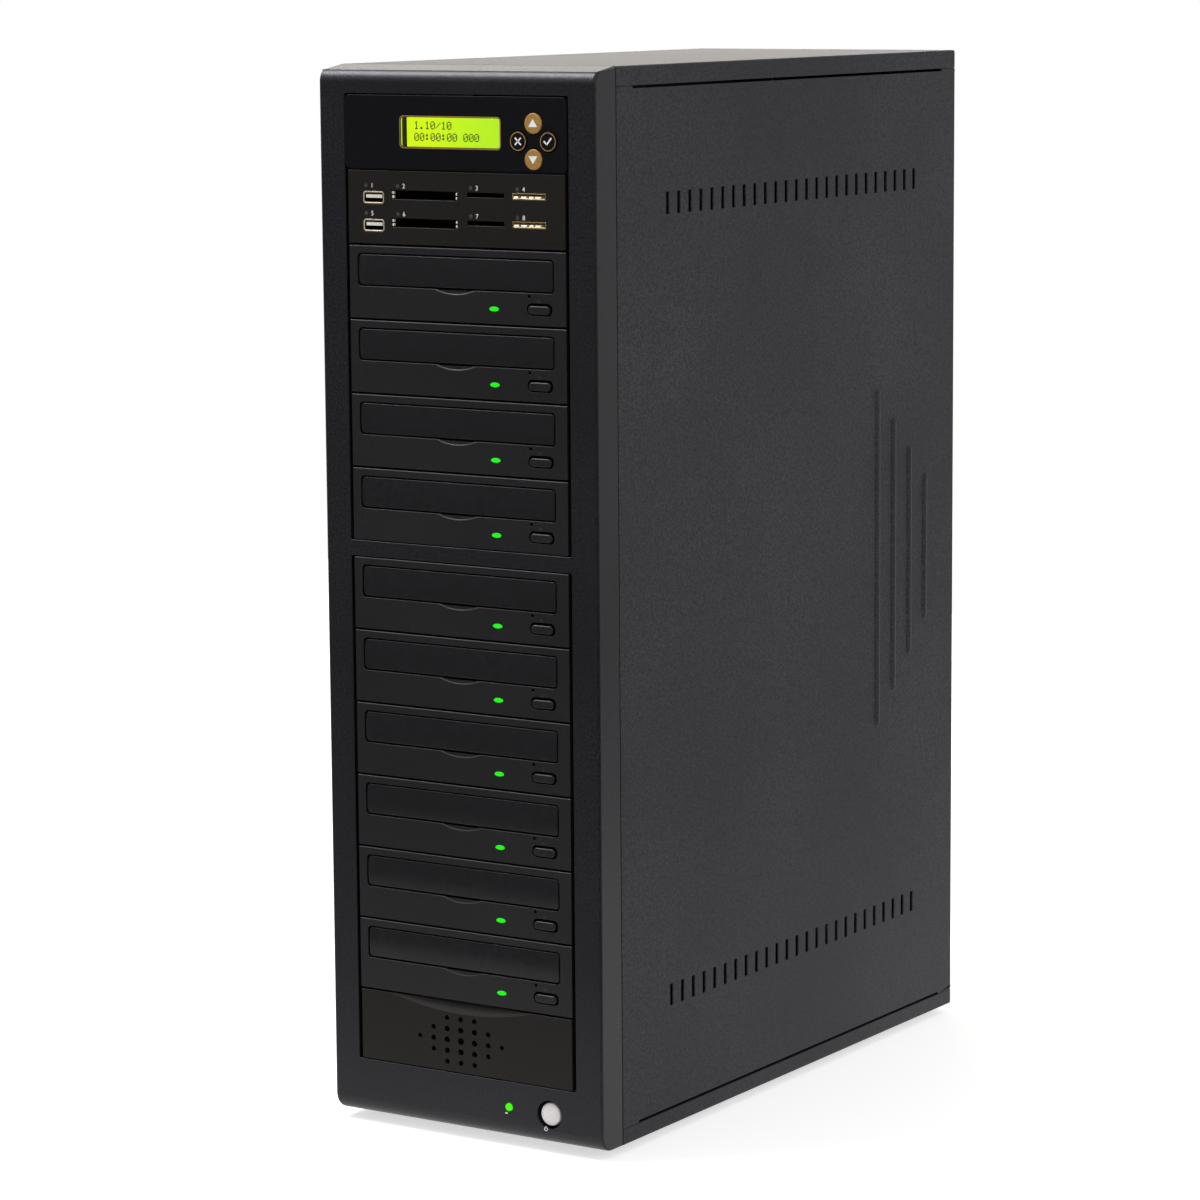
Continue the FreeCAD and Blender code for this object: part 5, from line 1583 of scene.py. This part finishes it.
@dataclass
class DiscDrive:
    """A half-height disc drive, modelled once on its bay's floor and copied into each bay."""

    width: float = 148.2
    height: float = 41.5
    depth: float = 6.0
    top_edge: float = 0.7
    front_edge: float = 0.22
    front_angle: float = 22.0
    # Tray front, in its mouth.
    door_left: float = -68.05
    door_right: float = 65.55
    door_bottom: float = 18.7
    door_top: float = 36.7
    door_depth: float = 4.0
    door_gap: float = 0.55
    door_shrink: float = 0.3
    door_corner: float = 2.0
    door_crown: float = 0.55
    door_rows: int = 9
    door_edge: float = 0.55
    # Thumb notch under the tray front.
    notch_across: float = -1.1
    notch_width: float = 29.4
    notch_drop: float = 2.9
    notch_cut: float = 0.5
    notch_ledge: float = 0.7
    notch_overlap: float = 0.5
    notch_sides: int = 240
    # Eject button.
    eject_across: float = 56.0
    eject_up: float = 8.7
    eject_width: float = 14.8
    eject_height: float = 4.8
    eject_gap: float = 0.75
    eject_room: float = 0.7
    eject_edge: float = 0.8
    eject_proud: float = 0.5
    eject_round: float = 2.3
    # Busy lamp.
    lamp_across: float = 25.6
    lamp_up: float = 8.4
    lamp_width: float = 6.3
    lamp_height: float = 2.7
    lamp_gap: float = 0.2
    lamp_proud: float = 0.2
    lamp_edge: float = 0.3
    lamp_sides: int = 40
    # Pinhole.
    pin_across: float = 49.4
    pin_up: float = 16.2
    pin_diameter: float = 2.0
    pin_length: float = 5.0
    pin_sides: int = 20
    # Eject sign: a triangle over a bar.
    sign_across: float = 55.8
    sign_up: float = 14.2
    sign_radius: float = 1.1
    sign_proud: float = 0.04
    sign_height: float = 0.06
    sign_width: float = 2.0
    sign_bar: Span = (-1.3, -0.9)
    # Tray; the ends of its window are nearly half round.
    tray_width: float = 129.0
    tray_length: float = 150.0
    tray_bottom: float = 24.7
    tray_top: float = 30.7
    tray_corner: float = 2.0
    tray_edge: float = 0.3
    disc: float = 121.0
    small_disc: float = 82.0
    disc_middle: float = 70.5
    disc_recess: float = 2.0
    small_recess: float = 3.0
    seat_inner: float = 0.6
    seat_outer: float = 0.2
    seat_sides: int = 96
    window_width: float = 36.0
    window_front: float = 50.5
    window_rear: float = 138.0
    window_round: float = 2.02

    def floor(self, number: int) -> Vector:
        """Where a drive's own frame starts: its bay's floor in the plane of the front, in metres."""
        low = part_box(f"tray_{number:02d}")[0]
        return Vector((0.0, low.y, low.z - self.door_bottom * MM))

    def pill(
        self, name: str, across: float, up: float, width: float, height: float, depths: Span, radius: float
    ) -> Workpiece:
        """A rounded plate given by its middle and size.

        Args:
            name: The piece's name.
            across: Its middle across, in millimetres.
            up: Its middle above the floor.
            width: Its width.
            height: Its height.
            depths: Where its front and back are.
            radius: The radius of its corners.

        Returns:
            The plate.
        """
        low = at(across - width / 2, depths[0], up - height / 2)
        high = at(across + width / 2, depths[1], up + height / 2)
        return Workpiece.slab(name, low, high, Axis.Y, radius * MM, 8)

    def oval(self, name: str, width: float, height: float, depths: Span) -> Workpiece:
        """An oval plate where the busy lamp is.

        Args:
            name: The piece's name.
            width: Its width in millimetres.
            height: Its height.
            depths: Where its front and back are.

        Returns:
            The plate.
        """
        front = at(self.lamp_across, depths[0], self.lamp_up)
        length = (depths[1] - depths[0]) * MM
        made = Workpiece.bar(name, front, length, width / 2 * MM, sides=self.lamp_sides)
        with made.editing():
            bpy.ops.transform.resize(value=(1.0, 1.0, height / width), center_override=front)
        return made

    def build_front(self) -> Workpiece:
        """Models the drive's front with its mouth, thumb notch and holes.

        Returns:
            The front, on the floor.
        """
        half = self.width / 2
        made = Workpiece.block("drive_front", at(-half, 0, 0), at(half, self.depth, self.height))
        made.bevel(edge_along(Axis.X, y=0.0, z=self.height * MM), self.top_edge * MM, 5)
        through = (-1, self.depth + 1)
        gap = self.door_gap
        line = self.door_bottom - gap
        mouth = Workpiece.slab(
            "mouth",
            at(self.door_left - gap, through[0], line),
            at(self.door_right + gap, through[1], self.door_top + gap),
            Axis.Y,
            (self.door_corner + gap) * MM,
        )
        radius = arc_radius(self.notch_width, self.notch_drop)
        slope = self.notch_ledge / self.notch_cut
        notch = Workpiece.bar(
            "notch",
            at(self.notch_across, through[0], line + radius - self.notch_drop),
            (self.notch_cut + 1) * MM,
            (radius + slope) * MM,
            (radius - self.notch_ledge) * MM,
            sides=self.notch_sides,
        )
        notch.shave(at(0, 0, line + self.notch_overlap), UPWARD)
        eject = self.pill(
            "eject_hole",
            self.eject_across + self.eject_room / 2,
            self.eject_up + self.eject_room / 2,
            self.eject_width + 2 * self.eject_gap + self.eject_room,
            self.eject_height + 2 * self.eject_gap + self.eject_room,
            through,
            self.eject_round + self.eject_gap,
        )
        room = self.lamp_gap
        lamp = self.oval("lamp_hole", self.lamp_width + room, self.lamp_height + room, through)
        pin_front = at(self.pin_across, through[0], self.pin_up)
        radius = self.pin_diameter / 2 * MM
        pin = Workpiece.bar("pin_hole", pin_front, self.pin_length * MM, radius, sides=self.pin_sides)
        made.cut(mouth, notch, eject, lamp, pin)
        return made.soften(self.front_edge * MM, angle=self.front_angle)

    def build_door(self) -> Workpiece:
        """Models the tray's front, a smooth plate that is slightly bowed.

        Returns:
            The door, on the floor.
        """
        thin = at(self.door_shrink, 0, self.door_shrink)
        low = at(self.door_left, 0, self.door_bottom) + thin
        high = at(self.door_right, self.door_depth, self.door_top) - thin
        made = Workpiece.slab("tray_door", low, high, Axis.Y, self.door_corner * MM, 6)
        made.crown(0.0, self.door_rows, self.door_crown * MM)
        return made.soften(self.door_edge * MM, 3)

    def build_tray(self) -> Workpiece:
        """Models the tray with its two disc seats and the window for the hub and lens.

        Returns:
            The tray, on the floor.
        """
        half = self.tray_width / 2
        made = Workpiece.slab(
            "tray_plate",
            at(-half, self.door_depth, self.tray_bottom),
            at(half, self.tray_length, self.tray_top),
            Axis.Z,
            self.tray_corner * MM,
        )
        for diameter, recess in ((self.disc, self.disc_recess), (self.small_disc, self.small_recess)):
            seat = Workpiece.bar(
                "disc_seat",
                at(0, self.disc_middle, self.tray_top - recess),
                (recess + 1) * MM,
                (diameter / 2 - self.seat_inner) * MM,
                (diameter / 2 + self.seat_outer) * MM,
                sides=self.seat_sides,
                axis=Axis.Z,
            )
            made.cut(seat)
        half = self.window_width / 2
        window = Workpiece.slab(
            "hub_window",
            at(-half, self.window_front, self.tray_bottom - 1),
            at(half, self.window_rear, self.tray_top + 1),
            Axis.Z,
            self.window_width / self.window_round * MM,
            10,
        )
        return made.cut(window).soften(self.tray_edge * MM)

    def build_eject(self) -> Workpiece:
        """Models the eject button, a rounded bar with a soft front edge.

        Returns:
            The button, on the floor.
        """
        made = self.pill(
            "eject_cap",
            self.eject_across,
            self.eject_up,
            self.eject_width,
            self.eject_height,
            (-self.eject_proud, self.depth),
            self.eject_round,
        )
        return made.soften(self.eject_edge * MM, 4)

    def build_lamp(self) -> Workpiece:
        """Models the busy lamp's lens, on the floor."""
        lens = self.oval("lamp_lens", self.lamp_width, self.lamp_height, (-self.lamp_proud, self.depth))
        return lens.soften(self.lamp_edge * MM, 3)

    def build_sign(self) -> Workpiece:
        """Models the faint eject sign: a triangle over a bar.

        Returns:
            The sign, on the floor.
        """
        middle = at(self.sign_across, -self.sign_proud, self.sign_up)
        made = Workpiece.bar("eject_sign", middle, self.sign_height * MM, self.sign_radius * MM, sides=3)
        half = self.sign_width / 2
        under, over = self.sign_bar
        line_low = middle + at(-half, 0, under)
        line_high = middle + at(half, self.sign_height, over)
        return made.join(Workpiece.block("sign_bar", line_low, line_high))

    def build(self) -> None:
        """Models each piece once and copies it into every bay."""
        patterns = (
            ("drive_front", self.build_front(), DRIVE_ABS, "drive_plastic", ["drive_bezels"]),
            ("drive_lamp", self.build_lamp(), GREEN_LENS, "lamp_green", ["drive_lamps"]),
            ("eject_sign", self.build_sign(), GREY_INK, "drive_plastic", []),
        )
        moving = (
            ("tray_door", self.build_door(), TRAY_ABS, "tray_plastic", "tray"),
            ("tray_plate", self.build_tray(), PLATE_ABS, "tray_plastic", "tray"),
            ("eject_cap", self.build_eject(), DRIVE_ABS, "drive_plastic", "eject_button"),
        )
        for number in DRIVES:
            floor = self.floor(number)
            for name, pattern, finish, slot, nodes in patterns:
                pattern.copied(f"{name}_{number:02d}", floor).fit(finish, CHASSIS, slot, nodes)
            for name, pattern, finish, slot, carrier in moving:
                body = f"{carrier}_{number:02d}"
                pattern.copied(f"{name}_{number:02d}", floor).fit(finish, body, slot, [body])
        for pattern in (*patterns, *moving):
            pattern[1].discard()
        dress_node("drive_loaders", INNER_ABS)


@dataclass
class VentedBlank:
    """The blank panel at the foot, with a shallow finger scoop and a lozenge of round holes."""

    thickness: float = 4.8
    edge: float = 0.25
    edge_angle: float = 18.0
    scoop_across: float = -2.5
    scoop_width: float = 100.6
    scoop_drop: float = 6.8
    scoop_cut: float = 4.0
    scoop_lead: float = 1.0
    scoop_sides: int = 512
    hole_across: float = -3.5
    hole_up: float = 18.6
    pitch_across: float = 9.6
    pitch_up: float = 6.5
    hole: float = 4.2
    hole_sides: int = 28
    fade: float = 0.5
    rows: tuple[int, ...] = (3, 5, 7, 5, 3)
    arm_length: float = 36.0
    arm_thickness: float = 1.5
    arm_inset: float = 0.8

    def build_scoop(self, edge: Vector) -> Workpiece:
        """Models the cutter for the finger scoop, a wide cone.

        Args:
            edge: A point of the panel's upper front edge.

        Returns:
            The cutter.
        """
        radius = arc_radius(self.scoop_width, self.scoop_drop)
        slope = self.scoop_drop / self.scoop_cut
        lead = self.scoop_lead
        return Workpiece.bar(
            "scoop",
            Vector((self.scoop_across * MM, edge.y - lead * MM, edge.z + (radius - self.scoop_drop) * MM)),
            (self.scoop_cut + lead) * MM,
            (radius + slope * lead) * MM,
            (radius - slope * self.scoop_cut) * MM,
            sides=self.scoop_sides,
        )

    def build_holes(self, low: Vector) -> Workpiece:
        """Models the cutter for the holes, which are smaller the further out they are.

        Args:
            low: The panel's lowest corner.

        Returns:
            The cutter.
        """
        holes = []
        length = (self.thickness + 2) * MM
        for i, count in enumerate(self.rows):
            line = len(self.rows) // 2 - i
            for k in range(count):
                column = k - count // 2
                wide = self.hole - self.fade * math.hypot(column, line)
                across = self.hole_across + column * self.pitch_across
                up = self.hole_up + line * self.pitch_up
                spot = Vector((across * MM, low.y - MM, low.z + up * MM))
                holes.append(Workpiece.bar("hole", spot, length, wide / 2 * MM, sides=self.hole_sides))
        return holes[0].join(*holes[1:])

    def build(self) -> Workpiece:
        """Models the panel from a block, with an arm behind each end.

        Returns:
            The panel.
        """
        low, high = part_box("vent_panel")
        rear = low.y + self.thickness * MM
        made = Workpiece.block("blank_panel", low, Vector((high.x, rear, high.z)))
        made.cut(self.build_scoop(Vector((0.0, low.y, high.z))))
        made.cut(self.build_holes(low))
        arms = []
        for side in (-1, 1):
            edge = side * (high.x - self.arm_inset * MM)
            near, far = sorted((edge, edge - side * self.arm_thickness * MM))
            arm_low = Vector((near, rear, low.z + MM))
            arm_high = Vector((far, rear + self.arm_length * MM, high.z - MM))
            arms.append(Workpiece.block("blank_arm", arm_low, arm_high))
        return made.join(*arms).soften(self.edge * MM, angle=self.edge_angle)

    def dress(self, piece: Workpiece) -> None:
        """Fits the panel in place of its solid."""
        piece.fit(READER_ABS, CHASSIS, "reader_plastic", ["vent_panel"])


@dataclass(frozen=True)
class Cap:
    """A round cap with a rolled rim and a domed face, in millimetres."""

    diameter: float
    back: float
    edge: float
    step: float
    rise: float
    soft_edge: float
    sides: int

    def build(self, name: str, node: str, offset: Vector) -> Workpiece:
        """Models the cap at the middle of its solid.

        Args:
            name: The piece's name.
            node: The solid's node.
            offset: How far from the middle it is, in metres.

        Returns:
            The cap.
        """
        low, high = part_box(node)
        front = box_middle(node) + offset
        front.y = low.y + self.back * MM
        made = Workpiece.bar(name, front, high.y - front.y, self.diameter / 2 * MM, sides=self.sides)
        made.bevel(rim_at(front.y), self.edge * MM, 5)
        made.dome(front.y, self.step * MM, self.rise * MM)
        return made.soften(self.soft_edge * MM)


@dataclass
class PowerControls:
    """The power button and the power lamp, with a small printed sign under each."""

    button: Cap = Cap(13.6, back=3.4, edge=1.3, step=1.4, rise=0.6, soft_edge=0.2, sides=72)
    lamp: Cap = Cap(4.8, back=0.2, edge=0.8, step=0.45, rise=0.2, soft_edge=0.1, sides=48)
    sign_height: float = 0.05
    # Signs, measured from the lowest corner of the moulding.
    dash_across: Span = (27.3, 28.9)
    dash_up: Span = (14.9, 15.8)
    ring_across: float = 55.4
    ring_up: float = 9.8
    ring_outer: float = 1.25
    ring_inner: float = 0.8
    ring_sides: int = 28
    gap_width: float = 1.0
    gap_top: float = 2.0
    stroke_width: float = 0.4
    stroke_up: Span = (0.2, 1.6)

    def build(self) -> None:
        """Models the button, the lamp and the signs."""
        button = self.button.build("power_cap", "power_button", BUTTON_OFFSET)
        button.fit(SILVER_PAINT, "power_button", "button_silver", ["power_button"])
        lamp = self.lamp.build("power_lens", "power_lamp", Vector())
        lamp.fit(POWER_LENS, CHASSIS, "lamp_green", ["power_lamp"])
        dress_node("power_switch", INNER_ABS)
        self.build_signs()

    def build_signs(self) -> None:
        """Prints a short dash under the lamp, and a ring with a stroke under the button."""
        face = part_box("front_bezel")[0]
        start = Vector((0.0, face.y - self.sign_height * MM, face.z))
        deep = 2 * self.sign_height
        dash_low = start + at(self.dash_across[0], 0, self.dash_up[0])
        dash_high = start + at(self.dash_across[1], deep, self.dash_up[1])
        Workpiece.block("lamp_sign", dash_low, dash_high).fit(WHITE_INK, CHASSIS, "bezel_plastic")
        middle = start + at(self.ring_across, 0, self.ring_up)
        sides = self.ring_sides
        ring = Workpiece.bar("power_sign", middle, deep * MM, self.ring_outer * MM, sides=sides)
        before = middle - at(0, 1, 0)
        ring.cut(Workpiece.bar("sign_inside", before, 2 * MM, self.ring_inner * MM, sides=sides))
        half = self.gap_width / 2
        ring.cut(Workpiece.block("sign_gap", middle + at(-half, -1, 0), middle + at(half, 1, self.gap_top)))
        half = self.stroke_width / 2
        stroke_low = middle + at(-half, 0, self.stroke_up[0])
        stroke_high = middle + at(half, deep, self.stroke_up[1])
        ring.join(Workpiece.block("sign_stroke", stroke_low, stroke_high))
        ring.fit(WHITE_INK, CHASSIS, "bezel_plastic")


@dataclass
class RearFittings:
    """What is on the back and inside: supply, inlet, mains switch, fans, screws and leads."""

    edge: float = 0.25
    rocker_edge: float = 0.4
    black: tuple[str, ...] = ("mains_inlet", "mains_switch_body", "fan_frames")
    rotors: tuple[str, ...] = ("case_fan_rotor", "supply_fan_rotor")

    def build(self) -> None:
        """Finishes the fittings on copies of their solids, each on its own body."""
        fittings = [
            ("psu_case", ZINC_STEEL, CHASSIS, "zinc_steel"),
            ("case_screws", BLACK_OXIDE, CHASSIS, "screw_steel"),
        ]
        fittings += [(node, INNER_ABS, CHASSIS, "inlet_plastic") for node in self.black]
        fittings += [(node, INNER_ABS, node, "fan_plastic") for node in self.rotors]
        for node, finish, body, slot in fittings:
            Workpiece.from_node(node).soften(self.edge * MM).fit(finish, body, slot, [node])
        rocker = Workpiece.from_node("mains_rocker").soften(self.rocker_edge * MM, 3)
        rocker.fit(INNER_ABS, "mains_rocker", "inlet_plastic", ["mains_rocker"])
        dress_node("cable_loom", LEAD_SLEEVE)


@dataclass(frozen=True)
class Lamp:
    """A soft square lamp that the camera doesn't see, in metres and watts."""

    name: str
    place: tuple[float, float, float]
    target: tuple[float, float, float]
    size: float
    power: float
    tone: str = "#ffffff"
    mirrored: bool = True

    def hang(self) -> None:
        """Hangs the lamp so that it faces its target."""
        data = bpy.data.lights.new(self.name, "AREA")
        data.size = self.size
        data.energy = self.power
        data.color = colour(self.tone)[:3]
        lamp = bpy.data.objects.new(self.name, data)
        bpy.context.scene.collection.objects.link(lamp)
        place = Vector(self.place)
        lamp.location = place
        lamp.rotation_euler = (Vector(self.target) - place).to_track_quat("-Z", "Y").to_euler()
        lamp.visible_camera = False
        lamp.visible_glossy = self.mirrored


# The middle of the tower, which most lamps face.
TOWER_MIDDLE = (0.0, 0.0, 0.35)


@dataclass
class Studio:
    """A pale floor, soft lamps and the camera at the picture's angle."""

    azimuth: float = 32.984
    elevation: float = 8.597
    roll: float = -0.435
    place: tuple[float, float, float] = (1375.22, -2180.42, 680.08)
    lens: float = 127.96
    sensor: float = 36.0
    clip: Span = (0.05, 50.0)
    # The floor fades along its depth and towards its right side where glossy faces mirror it.
    floor_tone: str = "#e9e9e8"
    floor_width: float = 3.4
    floor_lift: float = 0.6
    floor_mirrored: float = 1.6
    floor_depth: Span = (-0.68, 0.3)
    floor_side: Span = (0.0, 0.8)
    floor_side_share: float = 0.1
    # Light from all round, and what glossy faces mirror of it.
    ambient: float = 0.6
    room: float = 0.15
    ceiling: float = 0.75
    ceiling_span: Span = (0.1, 0.5)
    backdrop: tuple[float, float, float] = (-0.5, 0.86, 0.0)
    backdrop_span: Span = (0.1, 0.9)
    backdrop_fall: Span = (0.1, 0.36)
    backdrop_light: Span = (1.1, 0.35)
    lamps: tuple[Lamp, ...] = (
        Lamp("side_lamp", (0.6, 1.0, 0.2), (0.1, 0.1, 0.3), 0.5, 1.8, mirrored=False),
        Lamp("key_lamp", (2.0, -0.6, 1.0), TOWER_MIDDLE, 0.6, 3.6),
        Lamp("left_lamp", (-1.35, -0.8, 2.6), TOWER_MIDDLE, 1.2, 57.0, "#fdf8ff"),
        Lamp("back_lamp", (-1.4, 2.15, 1.1), TOWER_MIDDLE, 1.0, 9.5, "#fff6ea"),
    )

    def build_camera(self) -> None:
        """Sets the camera where the picture was taken from."""
        turn, rise, tilt = (math.radians(v) for v in (self.azimuth, self.elevation, self.roll))
        back = Vector((math.sin(turn) * math.cos(rise), -math.cos(turn) * math.cos(rise), math.sin(rise)))
        level = Vector((math.cos(turn), math.sin(turn), 0.0))
        upright = back.cross(level)
        right = math.cos(tilt) * level + math.sin(tilt) * upright
        top = math.cos(tilt) * upright - math.sin(tilt) * level
        data = bpy.data.cameras.new("camera")
        data.lens = self.lens
        data.sensor_width = self.sensor
        data.clip_start, data.clip_end = self.clip
        camera = bpy.data.objects.new("camera", data)
        bpy.context.scene.collection.objects.link(camera)
        turned = Matrix((right, top, back)).transposed().to_4x4()
        camera.matrix_world = Matrix.Translation(at(*self.place)) @ turned
        bpy.context.scene.camera = camera

    def build_world(self) -> None:
        """Lights the scene evenly from all round.

        Glossy faces mirror a white backdrop, a pale ceiling and a dim room in front instead.
        """
        world = bpy.data.worlds.new("studio")
        world.use_nodes = True
        tree = world.node_tree
        tree.nodes.clear()
        toward = add_node(tree, "ShaderNodeTexCoord").outputs["Generated"]
        behind = add_node(
            tree, "ShaderNodeVectorMath", {"operation": "DOT_PRODUCT"}, {0: toward, 1: self.backdrop}
        )
        wall = map_range(tree, behind.outputs["Value"], self.backdrop_span, (self.room, 1.0))
        height = add_node(tree, "ShaderNodeSeparateXYZ", inputs={0: toward}).outputs["Z"]
        above = map_range(tree, height, self.ceiling_span, (0.0, self.ceiling))
        fall = map_range(tree, height, self.backdrop_fall, self.backdrop_light)
        mirrored = maths(tree, "MAXIMUM", maths(tree, "MULTIPLY", wall, fall), above)
        path = add_node(tree, "ShaderNodeLightPath")
        lit = mix_values(tree, path.outputs["Is Glossy Ray"], self.ambient, mirrored)
        strength = mix_values(tree, seen_rays(tree, path), lit, 1.0)
        light = add_node(
            tree,
            "ShaderNodeBackground",
            inputs={"Color": (1.0, 1.0, 1.0, 1.0), "Strength": strength},
        )
        add_node(tree, "ShaderNodeOutputWorld", inputs={"Surface": light.outputs[0]})
        bpy.context.scene.world = world

    def build_floor(self) -> None:
        """Lays a pale floor that keeps the shadow; glossy faces mirror it as a glow that fades."""
        Workpiece.clear_bench()
        bpy.ops.mesh.primitive_plane_add(size=self.floor_width)
        floor = bpy.context.object
        floor.name = "studio_floor"
        made = bpy.data.materials.new("floor_pale")
        made.use_nodes = True
        tree = made.node_tree
        tree.nodes.clear()
        path = add_node(tree, "ShaderNodeLightPath")
        lift = maths(tree, "MULTIPLY", seen_rays(tree, path), self.floor_lift)
        matt = add_node(tree, "ShaderNodeBsdfDiffuse", inputs={"Color": colour(self.floor_tone)})
        glow = add_node(tree, "ShaderNodeEmission", inputs={"Strength": lift})
        pale = add_node(tree, "ShaderNodeAddShader", inputs={0: matt.outputs[0], 1: glow.outputs[0]})
        spot = add_node(tree, "ShaderNodeSeparateXYZ", inputs={0: object_place(tree)})
        fade = map_range(tree, spot.outputs["Y"], self.floor_depth, (self.room, self.floor_mirrored))
        aside = map_range(tree, spot.outputs["X"], self.floor_side, (1.0, self.floor_side_share))
        level = maths(tree, "MULTIPLY", fade, aside)
        mirrored = add_node(tree, "ShaderNodeEmission", inputs={"Strength": level})
        both = add_node(
            tree,
            "ShaderNodeMixShader",
            inputs={0: path.outputs["Is Glossy Ray"], 1: pale.outputs[0], 2: mirrored.outputs[0]},
        )
        add_node(tree, "ShaderNodeOutputMaterial", inputs={"Surface": both.outputs[0]})
        floor.data.materials.append(made)

    def build(self) -> None:
        """Sets up the whole studio."""
        self.build_camera()
        self.build_world()
        self.build_floor()
        for lamp in self.lamps:
            lamp.hang()
        bpy.context.scene.view_settings.view_transform = "Standard"


def main() -> None:
    """Builds the studio and each sub-assembly in order."""
    logging.basicConfig(level=logging.INFO, format="%(name)s: %(message)s")
    Studio().build()
    bezel = FrontBezel()
    bezel.dress(bezel.build())
    case = SteelCase()
    case.dress(case.build())
    feet = Feet()
    feet.dress(feet.build())
    Controller().build()
    CardReader().build()
    DiscDrive().build()
    blank = VentedBlank()
    blank.dress(blank.build())
    PowerControls().build()
    RearFittings().build()


if __name__ == "__main__":
    main()
